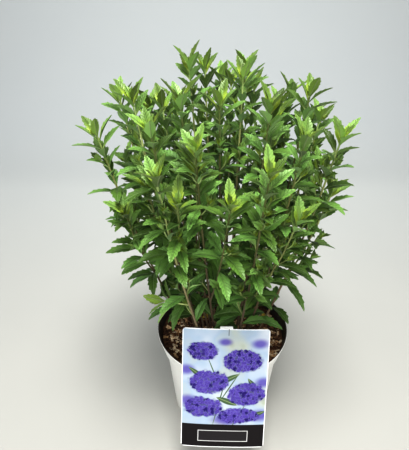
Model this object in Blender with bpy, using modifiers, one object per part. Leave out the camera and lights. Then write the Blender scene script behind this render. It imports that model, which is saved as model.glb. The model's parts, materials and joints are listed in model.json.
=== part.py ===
"""A potted bluebeard (Caryopteris): a bushy young shrub in a three-litre nursery pot.

The pieces are the thin-walled pot, the potting mix in it with its bark chips, the leafy stems that
stand in holes in the mix, and a plastic picture card whose tongue stands in the mix behind the rim.
Units are metres, +Z is up, the front is -Y and the origin is the middle of the pot's underside.
"""

import math
import random

import bmesh
import bpy
from mathutils import Matrix, Quaternion, Vector
from mathutils.bvhtree import BVHTree

# Sizes shared by more than one piece
FIT_GAP = 0.0003
MERGE = 0.00001
GOLDEN_ANGLE = math.pi * (3 - math.sqrt(5))

# Pot
POT_HEIGHT = 0.148
POT_RIM_RADIUS = 0.094
POT_BAND_FOOT_RADIUS = 0.0872
POT_BAND_FOOT_Z = 0.121
POT_NECK_RADIUS = 0.0825
POT_NECK_Z = 0.117
POT_BASE_RADIUS = 0.0725
POT_BASE_CHAMFER = 0.0015
POT_WALL = 0.0016
POT_FLOOR = 0.0025
POT_STEPS = 32
POT_SHARP_ANGLE = math.radians(20)
DRAIN_HOLES = 6
DRAIN_HOLE_RADIUS = 0.005
DRAIN_RING_RADIUS = 0.05
DRAIN_HOLE_SIDES = 10

# Potting mix
SOIL_TOP = 0.136
SOIL_STEPS = 20
SOIL_RINGS = (0.025, 0.052, 0.076)
SOIL_RELIEF = 0.0022
SOIL_EDGE_DROP = 0.003
SOIL_DISH = 0.006
CHIP_COUNT = 14
CHIP_RING = (0.02, 0.079)
CHIP_LENGTHS = (0.006, 0.013)
CHIP_WIDTHS = (0.004, 0.007)
CHIP_THICKNESS = 0.0035
CHIP_RISE = 0.0005
CHIP_TILT = 0.35
CHIP_ROLL = 0.3
ROOM_ROUND_STEM = 0.009
ROOM_ROUND_TONGUE = 0.014
HOLE_REACH = 0.02
STEM_HOLE_SIDES = 5

# Picture card
CARD_WIDTH = 0.11
CARD_LENGTH = 0.17
CARD_THICKNESS = 0.0008
CARD_CORNER = 0.006
CARD_ABOVE_RIM = 0.065
CARD_LEAN = math.radians(17.5)
CARD_ROLL = math.radians(1.5)
CARD_BEND = 1.1
TONGUE_WIDTH = 0.016
TONGUE_THICKNESS = 0.0006
TONGUE_FOLD = 0.0022
TONGUE_Y = -0.071
TONGUE_DEPTH = 0.04
TONGUE_OVERLAP = 0.008
TONGUE_UPRIGHT_FROM = SOIL_TOP + 0.012
TONGUE_FOLD_TURNS = (45, 90, 135, 180)

# Stems
STEM_COUNT = 30
STEM_DEPTH = 0.024
STEM_COLLAR = 0.006
STEM_SPREAD = 0.052
STEM_FOOT_RADIUS = 0.0016
STEM_TIP_RADIUS = 0.00095
STEM_POINTS = 4
FORK_POINTS = 3
CROWN_RADIUS = 0.14
CROWN_TOP = 0.488
CROWN_DROP = 0.05
CROWN_CENTRE = Vector((-0.01, 0.0))
CROWN_SHIFT_HEIGHT = 0.3
CROWN_UNEVENNESS = (-0.022, 0.018)
STEM_LEAN = 0.62
FORK_LEAN = 0.66
BEND_HEIGHT = 0.45
LEADER = 1
LEADER_RISE = 0.016
# Only stems this share of the crown's radius or more from its middle fork
FORK_FROM = 0.4
FORK_LOW = 0.25
FORK_HIGH = 0.4
FORK_INNER_RISE = 0.06
FORK_REACH = (0.74, 0.26)
FORK_SWELL = 1.15
FORK_TURNS = (0.3, -0.3, 0.45, -0.45, 0.6, -0.6, 0.15, -0.15)
# How far down from its tip a shoot bears leaves, for inner, forked and outermost shoots
INNER_LEAFY_LENGTH = 0.05
LEAFY_LENGTH = 0.13
OUTER_LEAFY_LENGTH = 0.26
OUTER_FROM = 0.8

# Room kept round the pieces that shoots and leaves must not touch
CLEARANCE = 0.0004
RIM_ROOM = 0.0015
SOIL_ROOM = 0.005
SOIL_EDGE_ROOM = 0.004
GUARD_STEPS = 36
CARD_ROOM = 0.004
CARD_ROOM_ABOVE = 0.01
CARD_GUARD_DEPTHS = (-0.02, -0.01, -0.003, 0.004)
VIEW_OF_CARD_FRONT = -0.07
VIEW_OF_CARD_TOP = 0.27
TONGUE_ROOM = 0.002
TONGUE_ROOM_ABOVE = 0.08
TONGUE_GUARD_DEPTHS = (-0.004, 0.004)

# Leaves, from the young ones at a shoot's tip to the full-grown ones down its length
YOUNG_LENGTH = 0.031
YOUNG_HALF_WIDTH = 0.0054
YOUNG_SPREAD = math.radians(24)
YOUNG_ARCH = math.radians(16)
FULL_LENGTH = 0.053
FULL_HALF_WIDTH = 0.0074
FULL_SPREAD = math.radians(76)
FULL_ARCH = math.radians(52)
GROWING_DISTANCE = 0.1
OPENING_DISTANCE = 0.045
YOUNG_BELOW = 0.008
LEAF_DISTANCES = (0.002, 0.016, 0.062, 0.205)
# Each try turns a leaf round its stem, lifts it and scales it
LEAF_TRIES = (
    (0.0, 0.0, 1.0),
    (0.25, 0.0, 1.0),
    (-0.25, 0.0, 1.0),
    (0.0, 0.2, 1.0),
    (0.0, -0.2, 1.0),
    (0.5, 0.1, 0.97),
    (-0.5, 0.1, 0.97),
    (0.3, -0.3, 0.94),
    (-0.3, -0.3, 0.94),
    (0.75, 0.0, 0.9),
    (-0.75, 0.0, 0.9),
    (0.0, 0.4, 0.86),
    (0.0, -0.45, 0.86),
)
LEAF_HALF_THICKNESS = 0.00065
LEAF_NECK_HALF_THICKNESS = 0.0005
LEAF_ROOT_SINK = 0.0006
LEAF_FOLD = 0.35
# Blade outlines: rib stations, and edge points as shares of the length and of the half width
NECK = 0.06
YOUNG_RIB = (0.0, NECK, 0.52, 1.0)
YOUNG_EDGE = ((0.0, 0.0), (0.5, 1.0), (0.56, 0.7), (1.0, 0.0))
FULL_RIB = (0.0, NECK, 0.55, 1.0)
FULL_EDGE = ((0.0, 0.0), (0.42, 1.0), (0.47, 0.76), (0.7, 0.78), (0.74, 0.48), (1.0, 0.0))
GUARD_STATIONS = ((0.04, 0.25), (0.38, 1.08), (0.62, 1.12), (0.84, 0.75), (1.02, 0.12))


def reset_scene():
    for obj in list(bpy.data.objects):
        bpy.data.objects.remove(obj)


def new_collection(name):
    collection = bpy.data.collections.new(name)
    bpy.context.scene.collection.children.link(collection)
    return collection


def new_material(name, colour, roughness):
    material = bpy.data.materials.new(name)
    material.use_nodes = True
    shader = material.node_tree.nodes["Principled BSDF"]
    shader.inputs["Base Color"].default_value = (*colour, 1.0)
    shader.inputs["Roughness"].default_value = roughness
    return material


def add_object(name, mesh, collection, material=None):
    obj = bpy.data.objects.new(name, mesh)
    collection.objects.link(obj)
    if material:
        mesh.materials.clear()
        mesh.materials.append(material)
    return obj


def bake(obj):
    """Turns an object's live modifiers into its mesh."""
    bpy.context.view_layer.update()
    graph = bpy.context.evaluated_depsgraph_get()
    mesh = bpy.data.meshes.new_from_object(obj.evaluated_get(graph))
    obj.modifiers.clear()
    obj.data = mesh


def combine(obj, collection, operation):
    """Joins a collection's objects to a body, or cuts them from it, and removes them."""
    modifier = obj.modifiers.new(operation.lower(), "BOOLEAN")
    modifier.operand_type = "COLLECTION"
    modifier.collection = collection
    modifier.operation = operation
    modifier.solver = "EXACT"
    bake(obj)
    for other in list(collection.objects):
        bpy.data.objects.remove(other)
    bpy.data.collections.remove(collection)


def turned_object(name, profile, steps, collection, material):
    """A solid of revolution from (radius, z) points that run down the outer side."""
    mesh = bpy.data.meshes.new(name)
    edges = [(i, i + 1) for i in range(len(profile) - 1)]
    mesh.from_pydata([(radius, 0, z) for radius, z in profile], edges, [])
    obj = add_object(name, mesh, collection, material)
    screw = obj.modifiers.new("turn", "SCREW")
    screw.steps = steps
    screw.render_steps = steps
    screw.use_merge_vertices = True
    screw.merge_threshold = MERGE
    screw.use_smooth_shade = True
    return obj


def make_pot(collection):
    """The moulded pot: a tapered wall under a deep rim band, with drainage holes in its floor."""
    wall_top = (
        (POT_BASE_RADIUS, POT_BASE_CHAMFER),
        (POT_NECK_RADIUS, POT_NECK_Z),
        (POT_BAND_FOOT_RADIUS, POT_BAND_FOOT_Z),
        (POT_RIM_RADIUS, POT_HEIGHT),
    )
    inner = [(radius - POT_WALL, z) for radius, z in wall_top[1:]]
    profile = [(0.0, POT_FLOOR), (POT_BASE_RADIUS - POT_WALL, POT_FLOOR)] + inner
    profile += list(reversed(wall_top)) + [(POT_BASE_RADIUS - POT_BASE_CHAMFER, 0.0), (0.0, 0.0)]
    grey_plastic = new_material("grey_plastic", (0.36, 0.355, 0.335), 0.5)
    pot = turned_object("pot", profile, POT_STEPS, collection, grey_plastic)
    cutters = new_collection("drain_hole_cutters")
    for i in range(DRAIN_HOLES):
        angle = math.tau * (i + 0.5) / DRAIN_HOLES
        place = (DRAIN_RING_RADIUS * math.cos(angle), DRAIN_RING_RADIUS * math.sin(angle), 0.0)
        depth = 4 * POT_FLOOR
        add_cutter(f"drain_hole_{i}", DRAIN_HOLE_RADIUS, DRAIN_HOLE_SIDES, place, depth, cutters)
    combine(pot, cutters, "DIFFERENCE")
    pot.data.shade_smooth()
    pot.data.set_sharp_from_angle(angle=POT_SHARP_ANGLE)
    return pot


def add_cutter(name, radius, sides, centre, depth, collection):
    """An upright prism centred on a point."""
    mesh = bpy.data.meshes.new(name)
    bm = bmesh.new()
    matrix = Matrix.Translation(centre)
    bmesh.ops.create_cone(
        bm, cap_ends=True, segments=sides, radius1=radius, radius2=radius, depth=depth, matrix=matrix
    )
    bm.to_mesh(mesh)
    bm.free()
    cutter = add_object(name, mesh, collection)
    cutter.hide_render = True
    cutter.display_type = "WIRE"
    return cutter


def soil_height(x, y):
    """The uneven surface of the mix: low swells, a little lower at the wall."""
    swell = math.sin(95 * x + 0.6) * math.cos(80 * y - 0.4) + 0.5 * math.sin(170 * x - 140 * y)
    edge = max(0.0, math.hypot(x, y) / POT_NECK_RADIUS - 0.7)
    return SOIL_TOP + SOIL_RELIEF * swell / 1.5 - SOIL_DISH * edge


def inner_wall_radius(z):
    """The radius of the pot's inner wall at a height above its floor."""
    if z < POT_NECK_Z:
        share = z / POT_NECK_Z
        return POT_BASE_RADIUS + (POT_NECK_RADIUS - POT_BASE_RADIUS) * share - POT_WALL
    if z < POT_BAND_FOOT_Z:
        share = (z - POT_NECK_Z) / (POT_BAND_FOOT_Z - POT_NECK_Z)
        return POT_NECK_RADIUS + (POT_BAND_FOOT_RADIUS - POT_NECK_RADIUS) * share - POT_WALL
    share = (z - POT_BAND_FOOT_Z) / (POT_HEIGHT - POT_BAND_FOOT_Z)
    return POT_BAND_FOOT_RADIUS + (POT_RIM_RADIUS - POT_BAND_FOOT_RADIUS) * share - POT_WALL


def make_soil(collection, stems):
    """The root ball, with bark chips half sunk in its top and a plain hole for each stem."""
    gap = 2 * FIT_GAP
    floor = POT_FLOOR + FIT_GAP
    edge_z = SOIL_TOP - SOIL_EDGE_DROP
    profile = [(0.0, SOIL_TOP)] + [(radius, SOIL_TOP) for radius in SOIL_RINGS]
    profile += [
        (inner_wall_radius(edge_z) - gap, edge_z),
        (inner_wall_radius(POT_BAND_FOOT_Z) - gap, POT_BAND_FOOT_Z),
        (inner_wall_radius(POT_NECK_Z) - gap, POT_NECK_Z),
        (inner_wall_radius(floor) - 2 * gap, floor),
        (0.0, floor),
    ]
    mix = new_material("potting_mix", (0.055, 0.03, 0.02), 0.95)
    soil = turned_object("soil", profile, SOIL_STEPS, collection, mix)
    bake(soil)
    for vertex in soil.data.vertices:
        if vertex.co.z > SOIL_TOP - MERGE:
            vertex.co.z = soil_height(vertex.co.x, vertex.co.y)

    chips = new_collection("bark_chips")
    rng = random.Random(11)
    for i in range(CHIP_COUNT):
        angle = i * GOLDEN_ANGLE + rng.uniform(-0.4, 0.4)
        share = math.sqrt((i + 0.5) / CHIP_COUNT)
        radius = CHIP_RING[0] + (CHIP_RING[1] - CHIP_RING[0]) * share
        x = radius * math.cos(angle)
        y = radius * math.sin(angle)
        spot = Vector((x, y, soil_height(x, y) + CHIP_RISE))
        if abs(x) < TONGUE_WIDTH and abs(y - TONGUE_Y) < ROOM_ROUND_TONGUE:
            continue
        if min((spot.xy - stem["points"][0].xy).length for stem in stems) < ROOM_ROUND_STEM:
            continue
        turn = Matrix.Rotation(rng.uniform(0, math.tau), 4, "Z")
        tilt = Matrix.Rotation(rng.uniform(-CHIP_TILT, CHIP_TILT), 4, "X")
        roll = Matrix.Rotation(rng.uniform(-CHIP_ROLL, CHIP_ROLL), 4, "Y")
        size = Matrix.Diagonal((rng.uniform(*CHIP_LENGTHS), rng.uniform(*CHIP_WIDTHS), CHIP_THICKNESS, 1))
        mesh = bpy.data.meshes.new(f"chip_{i}")
        bm = bmesh.new()
        place = Matrix.Translation(spot) @ turn @ tilt @ roll @ size
        bmesh.ops.create_cube(bm, size=1, matrix=place)
        bm.to_mesh(mesh)
        bm.free()
        add_object(f"chip_{i}", mesh, chips)
    combine(soil, chips, "UNION")

    cutters = new_collection("soil_cutters")
    for i, stem in enumerate(stems):
        foot = stem["points"][0]
        radius = STEM_FOOT_RADIUS + 2 * FIT_GAP
        depth = 2 * (SOIL_TOP + HOLE_REACH - foot.z + FIT_GAP)
        centre = (foot.x, foot.y, SOIL_TOP + HOLE_REACH)
        add_cutter(f"stem_hole_{i}", radius, STEM_HOLE_SIDES, centre, depth, cutters)
    mesh = bpy.data.meshes.new("tongue_slot")
    bm = bmesh.new()
    room = 4 * FIT_GAP
    depth = 2 * (TONGUE_DEPTH + FIT_GAP)
    slot = Matrix.Diagonal((TONGUE_WIDTH + room, TONGUE_THICKNESS + room, depth, 1))
    bmesh.ops.create_cube(bm, size=1, matrix=Matrix.Translation((0, TONGUE_Y, SOIL_TOP)) @ slot)
    bm.to_mesh(mesh)
    bm.free()
    add_object("tongue_slot", mesh, cutters)
    combine(soil, cutters, "DIFFERENCE")
    soil.data.shade_flat()
    return soil


def card_matrix():
    """Carries the card's own frame, whose origin is where it leans on the rim, to its place."""
    touch = Vector((0.0, -POT_RIM_RADIUS, POT_HEIGHT))
    outward = Vector((0.0, -math.cos(CARD_LEAN), math.sin(CARD_LEAN)))
    touch += outward * (CARD_THICKNESS / 2 + FIT_GAP)
    lean = Matrix.Rotation(-CARD_LEAN, 4, "X")
    return Matrix.Translation(touch) @ lean @ Matrix.Rotation(CARD_ROLL, 4, "Y")


def make_label(collection):
    """The card with rounded corners, and the tongue folded back from its top edge into the mix."""
    mesh = bpy.data.meshes.new("label")
    bm = bmesh.new()
    bmesh.ops.create_grid(bm, x_segments=10, y_segments=1, size=0.5)
    corners = [v for v in bm.verts if abs(abs(v.co.x) - 0.5) < 0.01]
    middle = CARD_ABOVE_RIM - CARD_LENGTH / 2
    for vertex in bm.verts:
        vertex.co = Vector((vertex.co.x * CARD_WIDTH, 0.0, vertex.co.y * CARD_LENGTH + middle))
    bmesh.ops.bevel(
        bm, geom=corners, affect="VERTICES", offset=CARD_CORNER, segments=3, profile=0.5, material=-1
    )
    bmesh.ops.remove_doubles(bm, verts=bm.verts, dist=MERGE)
    bm.to_mesh(mesh)
    bm.free()
    card_plastic = new_material("card_plastic", (0.72, 0.76, 0.86), 0.35)
    label = add_object("label", mesh, collection, card_plastic)
    solidify = label.modifiers.new("thickness", "SOLIDIFY")
    solidify.thickness = CARD_THICKNESS
    solidify.offset = 0.0
    bake(label)
    for vertex in label.data.vertices:
        past_middle = max(0.0, abs(vertex.co.x) - TONGUE_WIDTH / 2 - TONGUE_ROOM)
        vertex.co.y += CARD_BEND * past_middle**2
    place = card_matrix()
    label.data.transform(place)

    inside_card = place @ Vector((0.0, 0.0, CARD_ABOVE_RIM - TONGUE_OVERLAP))
    top = place @ Vector((0.0, 0.0, CARD_ABOVE_RIM))
    upward = Vector((0.0, math.sin(CARD_LEAN), math.cos(CARD_LEAN)))
    backward = Vector((0.0, math.cos(CARD_LEAN), -math.sin(CARD_LEAN)))
    path = [inside_card, top]
    for turn in TONGUE_FOLD_TURNS:
        angle = math.radians(turn)
        path.append(top + TONGUE_FOLD * (upward * math.sin(angle) + backward * (1 - math.cos(angle))))
    path.append(Vector((0.0, TONGUE_Y, TONGUE_UPRIGHT_FROM)))
    path.append(Vector((0.0, TONGUE_Y, SOIL_TOP - TONGUE_DEPTH)))
    verts = [(side * TONGUE_WIDTH / 2, point.y, point.z) for point in path for side in (-1, 1)]
    faces = [(2 * i, 2 * i + 1, 2 * i + 3, 2 * i + 2) for i in range(len(path) - 1)]
    strip = bpy.data.meshes.new("tongue")
    strip.from_pydata(verts, [], faces)
    tongues = new_collection("tongue_parts")
    tongue = add_object("tongue", strip, tongues)
    solidify = tongue.modifiers.new("thickness", "SOLIDIFY")
    solidify.thickness = TONGUE_THICKNESS
    solidify.offset = 0.0
    solidify.use_even_offset = True
    combine(label, tongues, "UNION")
    return label


def obstacle(verts, faces):
    """A surface that shoots and leaves have to stay clear of, with the ball that holds it."""
    centre = sum(verts, Vector()) / len(verts)
    reach = max((vertex - centre).length for vertex in verts)
    return {"tree": BVHTree.FromPolygons(verts, faces), "centre": centre, "reach": reach}


def fixed_obstacles():
    """The pot's rim, the surface of the mix and the card with its tongue, each a little proud."""
    profile = (
        (0.0, SOIL_TOP + SOIL_ROOM),
        (POT_RIM_RADIUS - 4 * RIM_ROOM, SOIL_TOP + SOIL_EDGE_ROOM),
        (POT_RIM_RADIUS - POT_WALL - RIM_ROOM, POT_HEIGHT),
        (POT_RIM_RADIUS - POT_WALL / 2, POT_HEIGHT + RIM_ROOM),
        (POT_RIM_RADIUS + RIM_ROOM, POT_HEIGHT),
        (POT_NECK_RADIUS + RIM_ROOM, POT_NECK_Z),
    )
    verts = []
    for radius, z in profile:
        for i in range(GUARD_STEPS):
            angle = math.tau * i / GUARD_STEPS
            verts.append(Vector((radius * math.cos(angle), radius * math.sin(angle), z)))
    faces = []
    for ring in range(len(profile) - 1):
        near = ring * GUARD_STEPS
        far = near + GUARD_STEPS
        for i in range(GUARD_STEPS):
            j = (i + 1) % GUARD_STEPS
            faces.append((near + i, near + j, far + j, far + i))
    found = [obstacle(verts, faces)]
    half = CARD_WIDTH / 2 + CARD_ROOM
    top = CARD_ABOVE_RIM + CARD_ROOM_ABOVE
    for depth in CARD_GUARD_DEPTHS:
        corners = upright_corners(half, depth, -CARD_LENGTH, top)
        found.append(obstacle([card_matrix() @ corner for corner in corners], [(0, 1, 2, 3)]))
    half = TONGUE_WIDTH / 2 + TONGUE_ROOM
    for depth in TONGUE_GUARD_DEPTHS:
        corners = upright_corners(half, TONGUE_Y + depth, SOIL_TOP, SOIL_TOP + TONGUE_ROOM_ABOVE)
        found.append(obstacle(corners, [(0, 1, 2, 3)]))
    return found


def upright_corners(half_width, y, low, high):
    """The corners of an upright rectangle across the front."""
    corners = ((-half_width, low), (half_width, low), (half_width, high), (-half_width, high))
    return [Vector((x, y, z)) for x, z in corners]


def is_clear(candidate, obstacles, own):
    """Whether a surface crosses none of the obstacles except the ones that it grows with."""
    for other in obstacles:
        if any(other is fellow for fellow in own):
            continue
        if (other["centre"] - candidate["centre"]).length > other["reach"] + candidate["reach"]:
            continue
        if other["tree"].overlap(candidate["tree"]):
            return False
    return True


def tube_obstacle(points, radii):
    """A square tube a little thicker than a shoot."""
    verts = []
    faces = []
    for i, point in enumerate(points):
        ahead = points[min(i + 1, len(points) - 1)] - points[max(i - 1, 0)]
        side = ahead.cross(Vector((0.3, 1, 0.1))).normalized()
        other = ahead.cross(side).normalized()
        reach = radii[i] * 1.25 + CLEARANCE
        for turn in range(4):
            angle = math.tau * turn / 4
            verts.append(point + reach * (side * math.cos(angle) + other * math.sin(angle)))
    for i in range(len(points) - 1):
        for turn in range(4):
            nearby = (turn + 1) % 4
            faces.append((4 * i + turn, 4 * i + nearby, 4 * i + 4 + nearby, 4 * i + 4 + turn))
    return obstacle(verts, faces)


def bowed_path(start, tip, lean_out, count):
    """Points along a shoot that leaves its start leaning out and turns up towards its tip."""
    out = Vector((tip.x - start.x, tip.y - start.y, 0.0))
    bend = start + out * lean_out + Vector((0.0, 0.0, (tip.z - start.z) * BEND_HEIGHT))
    points = []
    for i in range(1, count + 1):
        t = i / count
        points.append(start * (1 - t) ** 2 + bend * 2 * t * (1 - t) + tip * t * t)
    return points


def crown_point(share, angle, height):
    """A place in the crown: a share of its radius, a direction, and a height."""
    radius = CROWN_RADIUS * share
    centre = CROWN_CENTRE * min(1.0, (height - SOIL_TOP) / CROWN_SHIFT_HEIGHT)
    x = centre.x + radius * math.cos(angle)
    y = centre.y + radius * math.sin(angle)
    return Vector((x, y, height))


def new_shoot(points, radii, angle, leafy_length):
    """A stem's axis, or its fork's: where it runs, and how far down from its tip it bears leaves."""
    return {
        "points": points,
        "radii": radii,
        "angle": angle,
        "leafy_length": leafy_length,
        "leaves": [],
        "guard": tube_obstacle(points, radii),
    }


def lay_out_stems():
    """Every stem: its foot on a sunflower spiral, its tip on the crown, and a fork low down."""
    rng = random.Random(5)
    stems = []
    obstacles = fixed_obstacles()
    for i in range(STEM_COUNT):
        share = math.sqrt((i + 0.5) / STEM_COUNT)
        angle = i * GOLDEN_ANGLE + rng.uniform(-0.12, 0.12)
        x = STEM_SPREAD * share * math.cos(angle)
        y = STEM_SPREAD * share * math.sin(angle)
        foot = Vector((x, y, SOIL_TOP - STEM_DEPTH))
        collar = Vector((x, y, SOIL_TOP + STEM_COLLAR))
        height = CROWN_TOP - CROWN_DROP * share**2 + rng.uniform(*CROWN_UNEVENNESS)
        if i == LEADER:
            height = CROWN_TOP + LEADER_RISE
        tip = crown_point(share**0.85 * rng.uniform(0.93, 1.05), angle, height)
        points = [foot, collar] + bowed_path(collar, tip, STEM_LEAN, STEM_POINTS)
        last = len(points) - 1
        taper = (STEM_TIP_RADIUS - STEM_FOOT_RADIUS) / last
        radii = [STEM_FOOT_RADIUS + taper * k for k in range(last + 1)]
        leafy_length = LEAFY_LENGTH if share > FORK_FROM else INNER_LEAFY_LENGTH
        if share > OUTER_FROM:
            leafy_length = OUTER_LEAFY_LENGTH
        shoot = new_shoot(points, radii, angle, leafy_length)
        stems.append({"points": points, "angle": angle, "share": share, "shoots": [shoot]})
        obstacles.append(shoot["guard"])
    for stem in stems:
        add_fork(stem, obstacles, rng)
    return stems, obstacles


def hides_card(point):
    """Whether a place lies out in front of the card."""
    ahead = point.y < VIEW_OF_CARD_FRONT and point.z < VIEW_OF_CARD_TOP
    return ahead and abs(point.x) < CARD_WIDTH / 2 + CARD_ROOM


def add_fork(stem, obstacles, rng):
    """A side shoot that leaves its stem low down and fills the flank of the crown."""
    if stem["share"] < FORK_FROM:
        return
    start = stem["points"][2].lerp(stem["points"][3], rng.uniform(0.3, 0.9))
    level = rng.uniform(0.0, 1.0) ** 0.8
    height = FORK_LOW + (FORK_HIGH - FORK_LOW) * level + FORK_INNER_RISE * (1 - stem["share"])
    reach = FORK_REACH[0] + FORK_REACH[1] * level
    share = reach * stem["share"] ** 0.5 * rng.uniform(0.95, 1.04)
    for turn in FORK_TURNS:
        tip = crown_point(share, stem["angle"] + turn, height)
        if hides_card(tip):
            continue
        points = [start] + bowed_path(start, tip, FORK_LEAN, FORK_POINTS)
        radii = [STEM_TIP_RADIUS * FORK_SWELL] + [STEM_TIP_RADIUS] * FORK_POINTS
        shoot = new_shoot(points, radii, stem["angle"] + turn, LEAFY_LENGTH)
        if is_clear(shoot["guard"], obstacles, [stem["shoots"][0]["guard"]]):
            obstacles.append(shoot["guard"])
            stem["shoots"].append(shoot)
            return


def point_from_tip(points, distance):
    """The place on a shoot at a distance back from its tip, and the shoot's direction there."""
    for i in range(len(points) - 1, 0, -1):
        step = points[i - 1] - points[i]
        if distance <= step.length:
            return points[i] + step.normalized() * distance, -step.normalized()
        distance -= step.length
    return points[0].copy(), (points[1] - points[0]).normalized()


def leaf_frame(place, direction, twist):
    """A frame at a leaf's root: X along its stem's direction, Y outward from the stem."""
    side = direction.cross(Vector((0.0, 0.0, 1.0)))
    if side.length < 0.05:
        side = direction.cross(Vector((1.0, 0.0, 0.0)))
    outward = Quaternion(direction, twist) @ side.normalized()
    return {"place": place, "up": direction, "out": outward}


def leaf_point(frame, kind, along, across, lift):
    """A place on a leaf: a share of its length and half width, and a height over the blade."""
    length, half_width, spread, arch = kind
    up = frame["up"]
    out = frame["out"]
    turned = spread + arch * along
    face = up * math.sin(turned) - out * math.cos(turned)
    run_up = length / arch * (math.sin(turned) - math.sin(spread))
    run_out = length / arch * (math.cos(spread) - math.cos(turned))
    rib = frame["place"] + out * (run_out - LEAF_ROOT_SINK) + up * run_up
    width = half_width * across
    return rib + out.cross(up) * width + face * (lift + LEAF_FOLD * abs(width))


def leaf_guard(frame, kind):
    """A closed skin round a leaf's blade, used to keep leaves clear of each other."""
    skin = LEAF_HALF_THICKNESS + CLEARANCE
    verts = []
    for along, across in GUARD_STATIONS:
        for share, lift in ((-across, 0), (0, skin), (across, 0), (0, -skin)):
            verts.append(leaf_point(frame, kind, along, share, lift))
    faces = []
    for i in range(len(GUARD_STATIONS) - 1):
        for k in range(4):
            nearby = (k + 1) % 4
            faces.append((4 * i + k, 4 * i + nearby, 4 * i + 4 + nearby, 4 * i + 4 + k))
    return obstacle(verts, faces)


def leaf_kind(distance, rng):
    """Leaves grow longer and spread wider the further they stand below the tip of their shoot."""
    grown = 1 - math.exp(-distance / GROWING_DISTANCE)
    opened = 1 - math.exp(-distance / OPENING_DISTANCE)
    size = rng.uniform(0.93, 1.07)
    length = size * (YOUNG_LENGTH + (FULL_LENGTH - YOUNG_LENGTH) * grown)
    half_width = size * (YOUNG_HALF_WIDTH + (FULL_HALF_WIDTH - YOUNG_HALF_WIDTH) * grown)
    spread = YOUNG_SPREAD + (FULL_SPREAD - YOUNG_SPREAD) * opened + rng.uniform(-0.1, 0.1)
    arch = YOUNG_ARCH + (FULL_ARCH - YOUNG_ARCH) * opened + rng.uniform(-0.1, 0.15)
    return length, half_width, spread, arch


def place_leaves(shoots, distances, obstacles, rng):
    """Sets opposite leaves on each shoot, crosswise pair by pair, each turned until it is clear."""
    for row, distance in enumerate(distances):
        for shoot in shoots:
            if distance > shoot["leafy_length"]:
                continue
            place, direction = point_from_tip(shoot["points"], distance * rng.uniform(0.9, 1.1))
            twist = shoot["angle"] + row * math.pi / 2 + rng.uniform(-0.3, 0.3)
            own = [shoot["guard"]]
            for half_turn in (0.0, math.pi):
                kind = leaf_kind(distance, rng)
                found = clear_leaf(place, direction, twist + half_turn, kind, obstacles, own)
                if found:
                    frame, kind, guard = found
                    own.append(guard)
                    obstacles.append(guard)
                    shoot["leaves"].append({"frame": frame, "kind": kind, "distance": distance})


def clear_leaf(place, direction, twist, kind, obstacles, own):
    """The first of a few turned, lifted and shortened positions where a leaf touches nothing."""
    length, half_width, spread, arch = kind
    for turn, lift, size in LEAF_TRIES:
        frame = leaf_frame(place, direction, twist + turn)
        tried = (length * size, half_width * size, spread + lift, arch)
        guard = leaf_guard(frame, tried)
        if hides_card(leaf_point(frame, tried, 1.0, 0.0, 0.0)):
            continue
        if is_clear(guard, obstacles, own):
            return frame, tried, guard
    return None


def strip_faces(rib, edge):
    """Triangles between a leaf's rib and its toothed edge, which meet at the root and the tip.
    The rib's points are numbered first and the edge's after them."""
    faces = []
    i = 1
    j = 0
    while i < len(rib) - 1 or j < len(edge) - 1:
        rib_is_done = i == len(rib) - 1
        if j == 0 or (j < len(edge) - 1 and (rib_is_done or edge[j + 1][0] < rib[i + 1])):
            faces.append((i, len(rib) + j, len(rib) + j + 1))
            j += 1
        else:
            faces.append((i, len(rib) + j, i + 1))
            i += 1
    return faces


def make_leaf(name, leaf, collection):
    """One toothed blade, thick along its rib and thin at its edge, folded and arched, with both
    faces split alike. It is a loft between a smooth rib and a toothed edge, and its two faces and
    two halves are welded along those lines."""
    young = leaf["distance"] < YOUNG_BELOW
    rib = YOUNG_RIB if young else FULL_RIB
    edge = YOUNG_EDGE if young else FULL_EDGE
    bm = bmesh.new()
    for face in (1, -1):
        for side in (1, -1):
            points = []
            for along in rib:
                thick = LEAF_NECK_HALF_THICKNESS if along == NECK else LEAF_HALF_THICKNESS
                lift = face * thick if 0 < along < 1 else 0.0
                points.append(leaf_point(leaf["frame"], leaf["kind"], along, 0.0, lift))
            for along, across in edge:
                points.append(leaf_point(leaf["frame"], leaf["kind"], along, side * across, 0.0))
            verts = [bm.verts.new(point) for point in points]
            for corners in strip_faces(rib, edge):
                bm.faces.new([verts[corner] for corner in corners])
    bmesh.ops.remove_doubles(bm, verts=bm.verts, dist=MERGE)
    bmesh.ops.recalc_face_normals(bm, faces=bm.faces)
    mesh = bpy.data.meshes.new(name)
    bm.to_mesh(mesh)
    bm.free()
    return add_object(name, mesh, collection)


def make_tube(name, points, radii, collection):
    """A bluntly four-sided tapering shoot, as a mesh with welded caps."""
    curve = bpy.data.curves.new(name, "CURVE")
    curve.dimensions = "3D"
    curve.bevel_depth = STEM_FOOT_RADIUS
    curve.bevel_resolution = 0
    curve.use_fill_caps = True
    spline = curve.splines.new("POLY")
    spline.points.add(len(points) - 1)
    for spline_point, point, radius in zip(spline.points, points, radii):
        spline_point.co = (*point, 1.0)
        spline_point.radius = radius / STEM_FOOT_RADIUS
    guide = add_object(name + "_line", curve, collection)
    bpy.context.view_layer.update()
    graph = bpy.context.evaluated_depsgraph_get()
    mesh = bpy.data.meshes.new_from_object(guide.evaluated_get(graph))
    bm = bmesh.new()
    bm.from_mesh(mesh)
    bmesh.ops.remove_doubles(bm, verts=bm.verts, dist=MERGE)
    bmesh.ops.recalc_face_normals(bm, faces=bm.faces)
    bm.to_mesh(mesh)
    bm.free()
    tube = add_object(name, mesh, collection)
    bpy.data.objects.remove(guide)
    return tube


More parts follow.
